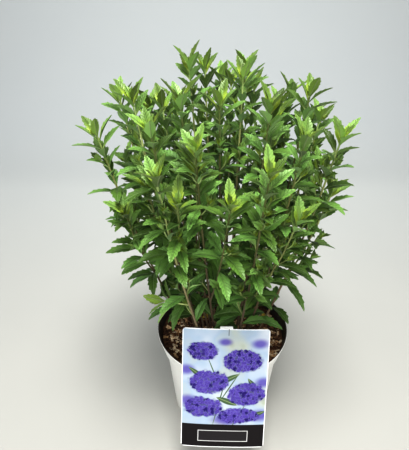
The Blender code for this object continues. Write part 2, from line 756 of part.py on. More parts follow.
def make_leafy_stem(name, stem, collection, material):
    """One stem with its fork and all its leaves, fused into one body."""
    main_shoot = stem["shoots"][0]
    body = make_tube(name, main_shoot["points"], main_shoot["radii"], collection)
    growth = new_collection(name + "_growth")
    for i, shoot in enumerate(stem["shoots"]):
        if i:
            make_tube(f"{name}_fork_{i}", shoot["points"], shoot["radii"], growth)
        for k, leaf in enumerate(shoot["leaves"]):
            make_leaf(f"{name}_leaf_{i}_{k}", leaf, growth)
    combine(body, growth, "UNION")
    body.data.materials.clear()
    body.data.materials.append(material)
    return body


def main():
    reset_scene()
    parts = new_collection("potted_bluebeard")
    stems, obstacles = lay_out_stems()
    shoots = [shoot for stem in stems for shoot in stem["shoots"]]
    place_leaves(shoots, LEAF_DISTANCES, obstacles, random.Random(8))
    make_pot(parts)
    make_soil(parts, stems)
    make_label(parts)
    green = new_material("leaf_green", (0.09, 0.19, 0.06), 0.55)
    for i, stem in enumerate(stems):
        make_leafy_stem(f"leafy_stem_{i + 1:02d}", stem, parts, green)


main()
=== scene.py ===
"""The finished looks of a potted bluebeard: its pot, potting mix, picture card and leafy stems."""

import json
import math
import random

import bmesh
import bpy
import numpy as np
from mathutils import Matrix, Quaternion, Vector, noise
from mathutils.bvhtree import BVHTree

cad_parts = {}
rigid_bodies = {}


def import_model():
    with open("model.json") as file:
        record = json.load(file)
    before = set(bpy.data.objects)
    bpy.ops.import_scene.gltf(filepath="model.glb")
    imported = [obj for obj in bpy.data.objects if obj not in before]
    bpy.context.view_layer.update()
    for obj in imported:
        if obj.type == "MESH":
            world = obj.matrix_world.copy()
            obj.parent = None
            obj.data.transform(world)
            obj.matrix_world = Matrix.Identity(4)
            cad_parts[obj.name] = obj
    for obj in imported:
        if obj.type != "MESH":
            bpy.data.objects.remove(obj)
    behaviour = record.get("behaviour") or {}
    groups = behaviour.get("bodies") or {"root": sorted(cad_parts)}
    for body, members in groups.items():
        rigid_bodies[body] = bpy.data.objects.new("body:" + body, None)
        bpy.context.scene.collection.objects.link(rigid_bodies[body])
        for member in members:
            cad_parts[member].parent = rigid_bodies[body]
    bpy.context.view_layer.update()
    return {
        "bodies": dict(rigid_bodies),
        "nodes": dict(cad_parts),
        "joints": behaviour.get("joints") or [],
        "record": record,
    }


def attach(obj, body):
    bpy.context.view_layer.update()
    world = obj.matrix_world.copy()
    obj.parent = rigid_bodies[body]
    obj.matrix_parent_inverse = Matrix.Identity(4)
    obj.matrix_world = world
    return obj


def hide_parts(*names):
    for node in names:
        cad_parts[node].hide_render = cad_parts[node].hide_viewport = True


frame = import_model()

# The pot
# A thin nursery pot, moulded in two layers of plastic: pale grey outside, black inside.
# Its deep rim band steps out from the tapered wall, and six holes drain its flat floor.
POT_HEIGHT = 0.148
POT_RIM_RADIUS = 0.094
POT_BAND_FOOT_RADIUS = 0.0872
POT_BAND_FOOT_Z = 0.121
POT_NECK_RADIUS = 0.0825
POT_NECK_Z = 0.117
POT_BASE_RADIUS = 0.0725
POT_WALL = 0.0016
POT_FLOOR = 0.0025
POT_SPIN_STEPS = 144
POT_ROUNDING = 0.0007
DRAIN_HOLES = 6
DRAIN_HOLE_RADIUS = 0.005
DRAIN_RING_RADIUS = 0.05
DRAIN_HOLE_SIDES = 24
POT_MOUTH_SHARE = 0.6
POT_SHARP_EDGE = math.radians(35)
FACING = 0.9
MERGE = 0.00001


def add_piece(name, bm, materials=()):
    """Puts a finished bmesh in the scene as one of the object's pieces."""
    mesh = bpy.data.meshes.new(name)
    bm.to_mesh(mesh)
    bm.free()
    for material in materials:
        mesh.materials.append(material)
    obj = bpy.data.objects.new(name, mesh)
    bpy.context.scene.collection.objects.link(obj)
    return obj


def bake_modifiers(obj):
    """Turns a piece's live modifiers into its mesh."""
    bpy.context.view_layer.update()
    graph = bpy.context.evaluated_depsgraph_get()
    mesh = bpy.data.meshes.new_from_object(obj.evaluated_get(graph))
    obj.modifiers.clear()
    obj.data = mesh


def spin_profile(profile, steps):
    """A turned shape from (radius, z) points, closed at the axis, with its faces outward."""
    bm = bmesh.new()
    line = [bm.verts.new((radius, 0.0, z)) for radius, z in profile]
    for first, second in zip(line, line[1:]):
        bm.edges.new((first, second))
    bmesh.ops.spin(
        bm, geom=bm.verts[:] + bm.edges[:], cent=(0, 0, 0), axis=(0, 0, 1), dvec=(0, 0, 0),
        angle=math.tau, steps=steps, use_merge=True, use_normal_flip=False, use_duplicate=False
    )
    bmesh.ops.remove_doubles(bm, verts=bm.verts, dist=MERGE)
    bmesh.ops.recalc_face_normals(bm, faces=bm.faces)
    return bm


def add_node(tree, kind, inputs=None, **settings):
    """A node with its settings, its input values and the links that come into it."""
    node = tree.nodes.new(kind)
    for name, value in settings.items():
        setattr(node, name, value)
    for socket, value in (inputs or {}).items():
        if isinstance(value, bpy.types.NodeSocket):
            tree.links.new(value, node.inputs[socket])
        else:
            node.inputs[socket].default_value = value
    return node


def calculate(tree, operation, *values):
    """The output of a Math node."""
    return add_node(tree, "ShaderNodeMath", dict(enumerate(values)), operation=operation).outputs[0]


def multiply(tree, first, second):
    return calculate(tree, "MULTIPLY", first, second)


def vector_math(tree, operation, *values):
    """The vector output of a Vector Math node."""
    return add_node(tree, "ShaderNodeVectorMath", dict(enumerate(values)), operation=operation).outputs[0]


def axes(tree, vector):
    """A vector's X, Y and Z."""
    return add_node(tree, "ShaderNodeSeparateXYZ", {0: vector}).outputs


def soft_step(tree, value, low, high):
    """Nought below one value, one above another, and smooth between; high may be the lower."""
    inputs = {"Value": value, "From Min": low, "From Max": high}
    node = add_node(tree, "ShaderNodeMapRange", inputs, interpolation_type="SMOOTHSTEP")
    return node.outputs["Result"]


def blend_colours(tree, share, first, second, blend_type="MIX"):
    """The output of a colour Mix node."""
    inputs = {0: share, 6: first, 7: second}
    return add_node(tree, "ShaderNodeMix", inputs, data_type="RGBA", blend_type=blend_type).outputs[2]


def tint(tree, mask, share, colour, target):
    """Draws a colour towards another by a share of a mask."""
    return blend_colours(tree, multiply(tree, mask, share), colour, target)


def colour_ramp(tree, value, stops):
    """The colour that a value picks from (place, red, green, blue) stops."""
    node = add_node(tree, "ShaderNodeValToRGB", {"Fac": value})
    elements = node.color_ramp.elements
    while len(elements) < len(stops):
        elements.new(1.0)
    for element, (place, *colour) in zip(elements, stops):
        element.position = place
        element.color = (*colour, 1.0)
    return node.outputs["Color"]


def cloud(tree, vector, scale, detail=3.0, roughness=0.55):
    """The grey output of a noise texture."""
    inputs = {"Vector": vector, "Scale": scale, "Detail": detail, "Roughness": roughness}
    return add_node(tree, "ShaderNodeTexNoise", inputs).outputs[0]


def object_place(tree):
    return add_node(tree, "ShaderNodeTexCoord").outputs["Object"]


def new_finish(name, **constants):
    """A material, its node tree and its Principled shader with the values that never change."""
    material = bpy.data.materials.new(name)
    material.use_nodes = True
    shader = material.node_tree.nodes["Principled BSDF"]
    for socket, value in constants.items():
        shader.inputs[socket.replace("_", " ")].default_value = value
    return material, material.node_tree, shader


def paint(tree, shader, colour, pattern, swing, base):
    """Gives a shader its colour, and a roughness that swings with a pattern over a base value."""
    tree.links.new(colour, shader.inputs["Base Color"])
    tree.links.new(calculate(tree, "MULTIPLY_ADD", pattern, swing, base), shader.inputs["Roughness"])


def new_group(name, **inputs):
    """A shader node group with named inputs, and the sockets where they come in."""
    group = bpy.data.node_groups.new(name, "ShaderNodeTree")
    for socket, kind in inputs.items():
        group.interface.new_socket(socket, in_out="INPUT", socket_type="NodeSocket" + kind)
    return group, group.nodes.new("NodeGroupInput").outputs


def close_group(group, **values):
    """Ends a node group with the values that it gives out."""
    for socket in values:
        group.interface.new_socket(socket, in_out="OUTPUT", socket_type="NodeSocketFloat")
    drain = group.nodes.new("NodeGroupOutput")
    for socket, value in values.items():
        group.links.new(value, drain.inputs[socket])
    return group


def use_group(tree, group, **inputs):
    return add_node(tree, "ShaderNodeGroup", inputs, node_tree=group).outputs


def raise_surface(tree, shader, height, distance):
    """A bump from a height pattern, with its real depth in metres."""
    bump = add_node(tree, "ShaderNodeBump", {"Height": height, "Distance": distance, "Strength": 1.0})
    tree.links.new(bump.outputs["Normal"], shader.inputs["Normal"])


def moulded_plastic_group():
    """The unevenness of moulded plastic: cloudy flow marks, fine flecks and a satin grain."""
    group, source = new_group("moulded_plastic", Vector="Vector", Size="Float")
    place = vector_math(group, "MULTIPLY", source["Vector"], source["Size"])
    drawn = add_node(group, "ShaderNodeMapping", {"Vector": place, "Scale": (1.0, 1.0, 0.25)}).outputs[0]
    flow = cloud(group, drawn, 14.0, 4.0)
    fleck = soft_step(group, cloud(group, place, 900.0, 1.0), 0.66, 0.74)
    grain = cloud(group, place, 1400.0, 2.0)
    height = calculate(group, "MULTIPLY_ADD", flow, 3.0, grain)
    return close_group(group, Flow=flow, Fleck=fleck, Height=height)


moulded_plastic = moulded_plastic_group()


def pale_plastic():
    """The pot's outer layer: satin pale grey with flow marks, dust low down and peat at the rim."""
    material, tree, shader = new_finish("pale_plastic", Specular_IOR_Level=0.45)
    place = object_place(tree)
    marks = use_group(tree, moulded_plastic, Vector=place, Size=1.0)
    colour = colour_ramp(tree, marks["Flow"], ((0.3, 0.78, 0.78, 0.75), (0.7, 0.85, 0.85, 0.82)))
    colour = tint(tree, marks["Fleck"], 0.35, colour, (0.3, 0.29, 0.28, 1))
    height = axes(tree, place)["Z"]
    smear = cloud(tree, place, 55.0, 5.0, 0.7)
    at_rim = soft_step(tree, height, POT_BAND_FOOT_Z, POT_HEIGHT)
    splash = multiply(tree, at_rim, soft_step(tree, smear, 0.56, 0.7))
    colour = tint(tree, splash, 0.55, colour, (0.12, 0.085, 0.06, 1))
    dust = multiply(tree, soft_step(tree, height, 0.03, 0.0), soft_step(tree, smear, 0.4, 0.65))
    colour = tint(tree, dust, 0.4, colour, (0.52, 0.48, 0.42, 1))
    paint(tree, shader, colour, splash, 0.3, calculate(tree, "MULTIPLY_ADD", smear, 0.25, 0.33))
    raise_surface(tree, shader, marks["Height"], 0.00006)
    return material


def black_plastic():
    """The pot's inner layer: black, with a film of dried peat."""
    material, tree, shader = new_finish("black_plastic", Specular_IOR_Level=0.5)
    place = object_place(tree)
    marks = use_group(tree, moulded_plastic, Vector=place, Size=1.4)
    colour = colour_ramp(tree, marks["Flow"], ((0.3, 0.012, 0.011, 0.01), (0.75, 0.03, 0.027, 0.024)))
    film = soft_step(tree, cloud(tree, place, 130.0, 5.0, 0.7), 0.5, 0.68)
    colour = tint(tree, film, 0.6, colour, (0.075, 0.05, 0.034, 1))
    paint(tree, shader, colour, film, 0.4, 0.34)
    raise_surface(tree, shader, marks["Height"], 0.00008)
    return material


def pot_wall_line():
    """The wall's outer line from the base to the rim, as (radius, z) points with soft corners."""
    rounding = POT_ROUNDING
    return [
        (POT_BASE_RADIUS - 3 * rounding, 0.0),
        (POT_BASE_RADIUS - rounding, 0.4 * rounding),
        (POT_BASE_RADIUS, 2 * rounding),
        (POT_NECK_RADIUS - rounding / 2, POT_NECK_Z - 4 * rounding),
        (POT_NECK_RADIUS, POT_NECK_Z - rounding),
        (POT_BAND_FOOT_RADIUS - rounding, POT_BAND_FOOT_Z - rounding),
        (POT_BAND_FOOT_RADIUS, POT_BAND_FOOT_Z + rounding),
        (POT_RIM_RADIUS - rounding / 2, POT_HEIGHT - 3 * rounding),
        (POT_RIM_RADIUS, POT_HEIGHT - rounding),
        (POT_RIM_RADIUS - rounding / 2, POT_HEIGHT),
    ]


def make_pot():
    outer = pot_wall_line()
    inner = [(radius - POT_WALL, z) for radius, z in reversed(outer[3:-1])]
    inner += [(POT_BASE_RADIUS - POT_WALL, 3 * POT_FLOOR), (POT_BASE_RADIUS - 3 * POT_WALL, POT_FLOOR)]
    profile = [(0.0, 0.0)] + outer + inner + [(0.0, POT_FLOOR)]
    bm = spin_profile(profile, POT_SPIN_STEPS)
    mouth = POT_RIM_RADIUS - POT_MOUTH_SHARE * POT_WALL
    for face in bm.faces:
        face.smooth = True
        centre = face.calc_center_median()
        inward = face.normal.dot(Vector((centre.x, centre.y, 0.0))) < 0 or face.normal.z > FACING
        face.material_index = 1 if inward and centre.xy.length < mouth and centre.z > POT_FLOOR / 2 else 0
    pot = add_piece("pot_shell", bm, (pale_plastic(), black_plastic()))
    drills = bmesh.new()
    for i in range(DRAIN_HOLES):
        angle = math.tau * (i + 0.5) / DRAIN_HOLES
        place = (DRAIN_RING_RADIUS * math.cos(angle), DRAIN_RING_RADIUS * math.sin(angle), 0.0)
        bmesh.ops.create_cone(
            drills, cap_ends=True, segments=DRAIN_HOLE_SIDES, radius1=DRAIN_HOLE_RADIUS,
            radius2=DRAIN_HOLE_RADIUS, depth=4 * POT_FLOOR, matrix=Matrix.Translation(place)
        )
    drill = add_piece("drain_drill", drills)
    cut = pot.modifiers.new("drain_holes", "BOOLEAN")
    cut.object = drill
    cut.operation = "DIFFERENCE"
    bake_modifiers(pot)
    bpy.data.objects.remove(drill)
    pot.data.set_sharp_from_angle(angle=POT_SHARP_EDGE)
    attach(pot, "root")
    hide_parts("pot")


make_pot()

# The potting mix
# The root ball: dark peat with composted bark, loose on top, where crumbs, tan wood chips and
# fibres show. It fills the pot to a finger's breadth below the rim and holds the stems' feet.
SOIL_TOP = 0.136
SOIL_RELIEF = 0.0022
SOIL_DISH = 0.006
SOIL_RINGS = 84
SOIL_SPIN_STEPS = 300
SOIL_EDGE_DROP = 0.003
SOIL_EDGE_FADE = 12
SOIL_EDGE_SINK = 0.001
SOIL_FOOT_GAP = 0.0018
FIT_GAP = 0.0003
CRUMB_SIZE = 0.0055
CRUMB_HEIGHT = 0.0026
CRUMB_LEVEL = 0.35
FINE_CRUMB_SCALE = 2.3
FINE_CRUMB_SHARE = 0.28
CHIP_LENGTHS = (0.0035, 0.0105)
CHIP_WIDTH_SHARES = (0.18, 0.42)
CHIP_THICKNESSES = (0.0008, 0.0018)
CHIP_TILT = 0.55
CHIP_WEAR = 0.09
CHIP_SHADES = (0.5, 0.3)
CRUMB_RADII = (0.0007, 0.0021)
CRUMB_WIDTH_SHARES = (0.7, 1)
CRUMB_HEIGHT_SHARES = (0.5, 0.8)
CRUMB_TILT = 0.4
CRUMB_WEAR = 0.18
CRUMB_SHADES = (0.2, 0.16)
FIBRE_LENGTHS = (0.005, 0.015)
FIBRE_RADII = (0.0002, 0.00045)
FIBRE_BEND = 18
FIBRE_TILT = 0.3
FIBRE_LIFT = 0.0007
FIBRE_SHADES = (0.62, 0.2)
# Where bleached chips lie thick, as (x, y, spread, strength), and what they gain in length and shade
PALE_PATCHES = ((0.064, -0.038, 0.002, 1.0), (-0.07, -0.03, 0.0009, 0.8))
PALE_LENGTH = 0.35
PALE_SHADE = 0.4
GOLDEN_ANGLE = math.pi * (3 - math.sqrt(5))


def soil_height(x, y):
    """The uneven surface of the mix: the solids' own low swells, a little lower at the wall."""
    swell = math.sin(95 * x + 0.6) * math.cos(80 * y - 0.4) + 0.5 * math.sin(170 * x - 140 * y)
    edge = max(0.0, math.hypot(x, y) / POT_NECK_RADIUS - 0.7)
    return SOIL_TOP + SOIL_RELIEF * swell / 1.5 - SOIL_DISH * edge


def crumbly_height(x, y):
    """The same surface with its lumps and crumbs."""
    place = Vector((x, y, 0.0)) / CRUMB_SIZE
    near = noise.voronoi(place)[0][0]
    fine = noise.fractal(place * FINE_CRUMB_SCALE, 0.7, 2.1, 3)
    return soil_height(x, y) + CRUMB_HEIGHT * (CRUMB_LEVEL - near) + FINE_CRUMB_SHARE * CRUMB_HEIGHT * fine


def inner_wall_radius(z):
    """The radius of the pot's inner wall at one height."""
    line = [(POT_BASE_RADIUS, 0.0), (POT_NECK_RADIUS, POT_NECK_Z)]
    line += [(POT_BAND_FOOT_RADIUS, POT_BAND_FOOT_Z), (POT_RIM_RADIUS, POT_HEIGHT)]
    return float(np.interp(z, [point[1] for point in line], [point[0] for point in line])) - POT_WALL


def peat_group():
    """Peat's broken colour and relief, from near black to reddish brown with pale specks."""
    group, source = new_group("peat", Vector="Vector", Size="Float")
    place = vector_math(group, "MULTIPLY", source["Vector"], source["Size"])
    tone = cloud(group, place, 210.0, 6.0, 0.7)
    speck = soft_step(group, cloud(group, place, 620.0, 2.0), 0.63, 0.72)
    height = calculate(group, "MULTIPLY_ADD", cloud(group, place, 900.0, 3.0, 0.7), 0.6, tone)
    return close_group(group, Tone=tone, Speck=speck, Height=height)


peat = peat_group()


def peat_mix():
    """Damp peat: very dark brown, reddish where it is looser, rough all over."""
    material, tree, shader = new_finish("peat_mix", Specular_IOR_Level=0.25)
    place = object_place(tree)
    grain = use_group(tree, peat, Vector=place, Size=1.0)
    stops = ((0.32, 0.02, 0.01, 0.006), (0.5, 0.085, 0.038, 0.02), (0.72, 0.24, 0.115, 0.055))
    colour = colour_ramp(tree, grain["Tone"], stops)
    colour = tint(tree, grain["Speck"], 0.6, colour, (0.28, 0.17, 0.09, 1))
    paint(tree, shader, colour, grain["Tone"], -0.3, 1.0)
    raise_surface(tree, shader, grain["Height"], 0.0008)
    return material


def bark_and_wood():
    """Chips, crumbs and fibres: each has its own shade from black bark to bleached tan wood."""
    material, tree, shader = new_finish("bark_and_wood", Specular_IOR_Level=0.3)
    place = object_place(tree)
    shade = add_node(tree, "ShaderNodeAttribute", attribute_name="shade").outputs["Fac"]
    stops = (
        (0.0, 0.016, 0.009, 0.006),
        (0.3, 0.07, 0.032, 0.017),
        (0.46, 0.26, 0.13, 0.062),
        (0.6, 0.68, 0.43, 0.21),
        (0.82, 0.86, 0.66, 0.4),
        (1.0, 0.93, 0.82, 0.6),
    )
    colour = colour_ramp(tree, shade, stops)
    grain = use_group(tree, peat, Vector=place, Size=1.8)
    dark = soft_step(tree, grain["Tone"], 0.62, 0.36)
    colour = blend_colours(tree, dark, colour, (0.35, 0.24, 0.18, 1), "MULTIPLY")
    paint(tree, shader, colour, grain["Tone"], -0.3, 0.95)
    raise_surface(tree, shader, grain["Height"], 0.0004)
    return material


def make_soil():
    edge_z = SOIL_TOP - SOIL_EDGE_DROP
    reach = inner_wall_radius(edge_z) - FIT_GAP
    profile = [(reach * i / SOIL_RINGS, SOIL_TOP) for i in range(SOIL_RINGS)]
    profile += [
        (reach, edge_z),
        (inner_wall_radius(POT_BAND_FOOT_Z) - FIT_GAP, POT_BAND_FOOT_Z),
        (inner_wall_radius(POT_NECK_Z) - FIT_GAP, POT_NECK_Z),
        (inner_wall_radius(POT_FLOOR) - SOIL_FOOT_GAP, POT_FLOOR + SOIL_FOOT_GAP),
        (0.0, POT_FLOOR + SOIL_FOOT_GAP),
    ]
    bm = spin_profile(profile, SOIL_SPIN_STEPS)
    for vert in bm.verts:
        if vert.co.z > SOIL_TOP - MERGE:
            fade = min(1.0, SOIL_EDGE_FADE * (1 - vert.co.xy.length / reach))
            rough = crumbly_height(vert.co.x, vert.co.y)
            plain = soil_height(vert.co.x, vert.co.y) - SOIL_EDGE_SINK
            vert.co.z = rough * fade + plain * (1 - fade)
    for face in bm.faces:
        face.smooth = True
    soil = add_piece("potting_mix", bm, (peat_mix(),))
    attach(soil, "root")
    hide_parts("soil")


def pale_patch(x, y):
    """How thick the bleached chips lie at one spot."""
    return sum(
        strength * math.exp(-((x - patch_x) ** 2 + (y - patch_y) ** 2) / spread)
        for patch_x, patch_y, spread, strength in PALE_PATCHES
    )


def scatter_place(rng, reach):
    """A random spot on the mix inside a radius."""
    radius = reach * math.sqrt(rng.random())
    angle = rng.uniform(0, math.tau)
    return radius * math.cos(angle), radius * math.sin(angle)


def lie_on_mix(x, y, rng, tilt):
    """A random lie on the crumbly surface at one spot."""
    place = Matrix.Translation((x, y, crumbly_height(x, y)))
    turn = Matrix.Rotation(rng.uniform(0, math.tau), 4, "Z")
    return place @ turn @ Matrix.Rotation(rng.uniform(-tilt, tilt), 4, "X") @ Matrix.Rotation(
        rng.uniform(-tilt, tilt), 4, "Y"
    )


def roughen(verts, size, rng):
    """Breaks a clean shape's outline a little, corner by corner."""
    for vert in verts:
        vert.co += Vector([rng.uniform(-size, size) for _ in range(3)])


def add_loose_bit(bm, bit, tone):
    """Joins one small solid to a piece and gives its corners one shade."""
    shade = bit.verts.layers.float.new("shade")
    for vert in bit.verts:
        vert[shade] = tone
    bmesh.ops.recalc_face_normals(bit, faces=bit.faces)
    mesh = bpy.data.meshes.new("loose_bit")
    bit.to_mesh(mesh)
    bit.free()
    bm.from_mesh(mesh)
    bpy.data.meshes.remove(mesh)


def strew(name, count, seed, margin, make_bit, material):
    """One kind of loose bit, scattered over the mix up to a margin from the wall, as one piece."""
    bm = bmesh.new()
    bm.verts.layers.float.new("shade")
    rng = random.Random(seed)
    reach = inner_wall_radius(SOIL_TOP) - margin
    for _ in range(count):
        x, y = scatter_place(rng, reach)
        add_loose_bit(bm, *make_bit(x, y, rng))
    piece = add_piece(name, bm, (material,))
    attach(piece, "root")


def make_chip(x, y, rng):
    """A flat broken chip of bark or wood, tilted, and its shade."""
    pale = pale_patch(x, y)
    length = rng.uniform(*CHIP_LENGTHS) * (1 + PALE_LENGTH * pale)
    width = length * rng.uniform(*CHIP_WIDTH_SHARES)
    size = Matrix.Diagonal((length, width, rng.uniform(*CHIP_THICKNESSES), 1))
    chip = bmesh.new()
    bmesh.ops.create_cube(chip, size=1, matrix=lie_on_mix(x, y, rng, CHIP_TILT) @ size)
    bmesh.ops.subdivide_edges(chip, edges=chip.edges[:], cuts=1, use_grid_fill=True)
    roughen(chip.verts, width * CHIP_WEAR, rng)
    return chip, min(1.0, max(0.0, rng.gauss(*CHIP_SHADES) + PALE_SHADE * pale))


def make_crumb(x, y, rng):
    """A round crumb of peat, most often dark."""
    radius = rng.uniform(*CRUMB_RADII)
    width = radius * rng.uniform(*CRUMB_WIDTH_SHARES)
    size = Matrix.Diagonal((radius, width, radius * rng.uniform(*CRUMB_HEIGHT_SHARES), 1))
    lie = lie_on_mix(x, y, rng, CRUMB_TILT)
    crumb = bmesh.new()
    bmesh.ops.create_icosphere(crumb, subdivisions=1, radius=1, matrix=lie @ size)
    roughen(crumb.verts, radius * CRUMB_WEAR, rng)
    return crumb, min(0.75, max(0.0, rng.gauss(*CRUMB_SHADES)))


def make_fibre(x, y, rng):
    """A thin bent sliver of wood or coir that sticks out of the mix."""
    length = rng.uniform(*FIBRE_LENGTHS)
    thick = rng.uniform(*FIBRE_RADII)
    sliver = bmesh.new()
    bmesh.ops.create_cone(sliver, cap_ends=True, segments=4, radius1=thick, radius2=thick / 2, depth=length)
    long_edges = [edge for edge in sliver.edges if edge.calc_length() > length / 2]
    bmesh.ops.subdivide_edges(sliver, edges=long_edges, cuts=3)
    bend = rng.uniform(-FIBRE_BEND, FIBRE_BEND)
    lie = lie_on_mix(x, y, rng, FIBRE_TILT) @ Matrix.Rotation(math.radians(90), 4, "Y")
    for vert in sliver.verts:
        vert.co.x += bend * vert.co.z**2
        vert.co = lie @ vert.co + Vector((0, 0, FIBRE_LIFT))
    return sliver, min(1.0, max(0.2, rng.gauss(*FIBRE_SHADES)))


make_soil()
bark_finish = bark_and_wood()
# The loose bits, as (name, count, seed, margin from the wall, maker)
for bits in (
    ("bark_chips", 800, 21, 0.005, make_chip),
    ("peat_crumbs", 750, 22, 0.004, make_crumb),
    ("wood_fibres", 300, 23, 0.007, make_fibre),
):
    strew(*bits, bark_finish)

# The picture card
# A printed card of thin white plastic that leans on the front of the rim. A narrow tongue, welded
# behind its top edge and folded down, is pushed into the mix and holds it there.
CARD_WIDTH = 0.11
CARD_LENGTH = 0.17
CARD_THICKNESS = 0.0008
CARD_CORNER = 0.006
CARD_ABOVE_RIM = 0.065
CARD_LEAN = math.radians(17.5)
CARD_ROLL = math.radians(1.5)
CARD_BEND = 1.1
TONGUE_WIDTH = 0.016
TONGUE_THICKNESS = 0.0006
TONGUE_FOLD = 0.0022
TONGUE_Y = -0.071
TONGUE_DEPTH = 0.04
TONGUE_OVERLAP = 0.008
TONGUE_UPRIGHT_FROM = SOIL_TOP + 0.012
TONGUE_ROOM = 0.002
CARD_COLUMNS = 24
CARD_ROWS = 8
CORNER_CUT = 0.7
CORNER_STEPS = 4
FOLD_STEP = 20


def card_matrix():
    """Carries the card's own frame, whose origin is where it leans on the rim, to its place."""
    touch = Vector((0.0, -POT_RIM_RADIUS, POT_HEIGHT))
    outward = Vector((0.0, -math.cos(CARD_LEAN), math.sin(CARD_LEAN)))
    touch += outward * (CARD_THICKNESS / 2 + FIT_GAP)
    lean = Matrix.Rotation(-CARD_LEAN, 4, "X")
    return Matrix.Translation(touch) @ lean @ Matrix.Rotation(CARD_ROLL, 4, "Y")


def spot_group():
    """A soft-edged ellipse on the print."""
    group, source = new_group("soft_spot", Place="Vector", Centre="Vector", Radii="Vector", Softness="Float")
    offset = vector_math(group, "SUBTRACT", source["Place"], source["Centre"])
    scaled = vector_math(group, "DIVIDE", offset, source["Radii"])
    distance = add_node(group, "ShaderNodeVectorMath", {0: scaled}, operation="LENGTH").outputs["Value"]
    inner = calculate(group, "SUBTRACT", 1.0, source["Softness"])
    return close_group(group, Mask=soft_step(group, distance, 1.0, inner))


def blade_group():
    """A slim pointed leaf, or a stalk, on the print: its length and half width are its Size."""
    group, source = new_group("printed_blade", Place="Vector", Centre="Vector", Size="Vector", Turn="Float")
    offset = vector_math(group, "SUBTRACT", source["Place"], source["Centre"])
    inputs = {"Vector": offset, "Angle": source["Turn"]}
    turned = add_node(group, "ShaderNodeVectorRotate", inputs, rotation_type="Z_AXIS").outputs[0]
    parts = axes(group, vector_math(group, "DIVIDE", turned, source["Size"]))
    across = calculate(group, "ABSOLUTE", parts["Y"])
    belly = calculate(group, "SUBTRACT", 1.0, multiply(group, parts["X"], parts["X"]))
    mask = soft_step(group, calculate(group, "SUBTRACT", belly, across), 0.0, 0.12)
    return close_group(group, Mask=mask, Rib=soft_step(group, across, 0.16, 0.04))


def blossom_group():
    """A field of small five-petalled blossoms, one to a cell, each turned its own way."""
    group, source = new_group("blossoms", Place="Vector", Spacing="Float", Petal="Float")
    scale = calculate(group, "DIVIDE", 1.0, source["Spacing"])
    inputs = {"Vector": source["Place"], "Scale": scale, "Randomness": 0.75}
    cells = add_node(group, "ShaderNodeTexVoronoi", inputs, voronoi_dimensions="2D").outputs
    offset = vector_math(group, "SUBTRACT", source["Place"], cells["Position"])
    parts = axes(group, offset)
    distance = add_node(group, "ShaderNodeVectorMath", {0: offset}, operation="LENGTH").outputs["Value"]
    tone = add_node(group, "ShaderNodeSeparateColor", {0: cells["Color"]}).outputs
    heading = calculate(group, "ARCTAN2", parts["Y"], parts["X"])
    heading = calculate(group, "MULTIPLY_ADD", tone["Red"], math.tau, heading)
    lobe = calculate(group, "ABSOLUTE", calculate(group, "COSINE", multiply(group, heading, 2.5)))
    petal = multiply(group, calculate(group, "MULTIPLY_ADD", lobe, 0.55, 0.45), source["Petal"])
    reach = calculate(group, "DIVIDE", distance, petal)
    return close_group(group, Mask=soft_step(group, reach, 1.06, 0.94), Reach=reach, Tone=tone["Green"])


def border_group():
    """How far inside a rectangle a place on the print lies, and the line along its edge."""
    group, source = new_group("ruled_frame", Place="Vector", Centre="Vector", Half="Vector", Line="Float")
    offset = vector_math(group, "SUBTRACT", source["Place"], source["Centre"])
    folded = vector_math(group, "ABSOLUTE", offset)
    parts = axes(group, vector_math(group, "SUBTRACT", folded, source["Half"]))
    outside = calculate(group, "MAXIMUM", parts["X"], parts["Y"])
    off_line = calculate(group, "SUBTRACT", calculate(group, "ABSOLUTE", outside), source["Line"])
    inside = soft_step(group, outside, 0.1, -0.1)
    return close_group(group, Inside=inside, Edge=soft_step(group, off_line, 0.1, -0.1))


# The print's motifs, nearly in millimetres from the card's lower left corner: flower heads as (x, y,
# half width, half height), and leaves and stalks as (x, y, half length, half width, turn)
FLOWER_HEADS = (
    (25, 134, 21, 14), (74, 121, 27, 17), (33, 92, 28, 18), (80, 76, 26, 18), (27, 57, 27, 16),
    (71, 46, 29, 13),
)
FAR_HEADS = (
    (94, 144, 15, 9), (6, 108, 14, 10), (100, 92, 14, 10), (8, 66, 16, 11), (56, 40, 26, 11),
    (98, 46, 18, 12), (52, 146, 12, 7),
)
STALKS = ((46, 62, 36, 0.9, 1.35), (58, 84, 30, 0.8, 1.05), (38, 108, 24, 0.7, 1.95), (70, 44, 24, 0.8, 1.1))
PRINTED_LEAVES = (
    (58, 97, 15, 3.6, 0.5), (18, 104, 13, 3.2, 2.5), (88, 88, 13, 3.4, 2.2), (56, 66, 15, 4.0, 2.75),
    (20, 62, 13, 3.4, 0.6), (94, 48, 12, 3.2, 0.35),
)
PRINT_SIZE = (105.0, 163.0)
BAND_HEIGHT = 33.0
PLATE_CENTRE = (52.5, 16.5, 0.0)
PLATE_HALF = (31.0, 7.5, 1.0)
PLATE_LINE = 0.45
MARGIN = 1.0
SLIT_CENTRE = (55.5, 159, 0)
SLIT_HALF = (0.35, 4.5, 1)
HEAD_WANDER = 9.0
SKY_COLOURS = (
    (0.3, 0.5, 0.54, 0.59), (0.5, 0.35, 0.43, 0.53), (0.66, 0.42, 0.46, 0.42), (0.8, 0.24, 0.28, 0.15),
)
# Layers of blossoms as (spacing, petal length, share left pale), and their petals from the eye outward
BLOSSOM_LAYERS = ((6.1, 3.2, 0.0), (4.7, 2.7, 0.5))
PETAL_COLOURS = (
    (0.0, 0.5, 0.4, 0.7), (0.2, 0.045, 0.024, 0.22), (0.7, 0.075, 0.045, 0.3), (1.0, 0.22, 0.17, 0.52),
)


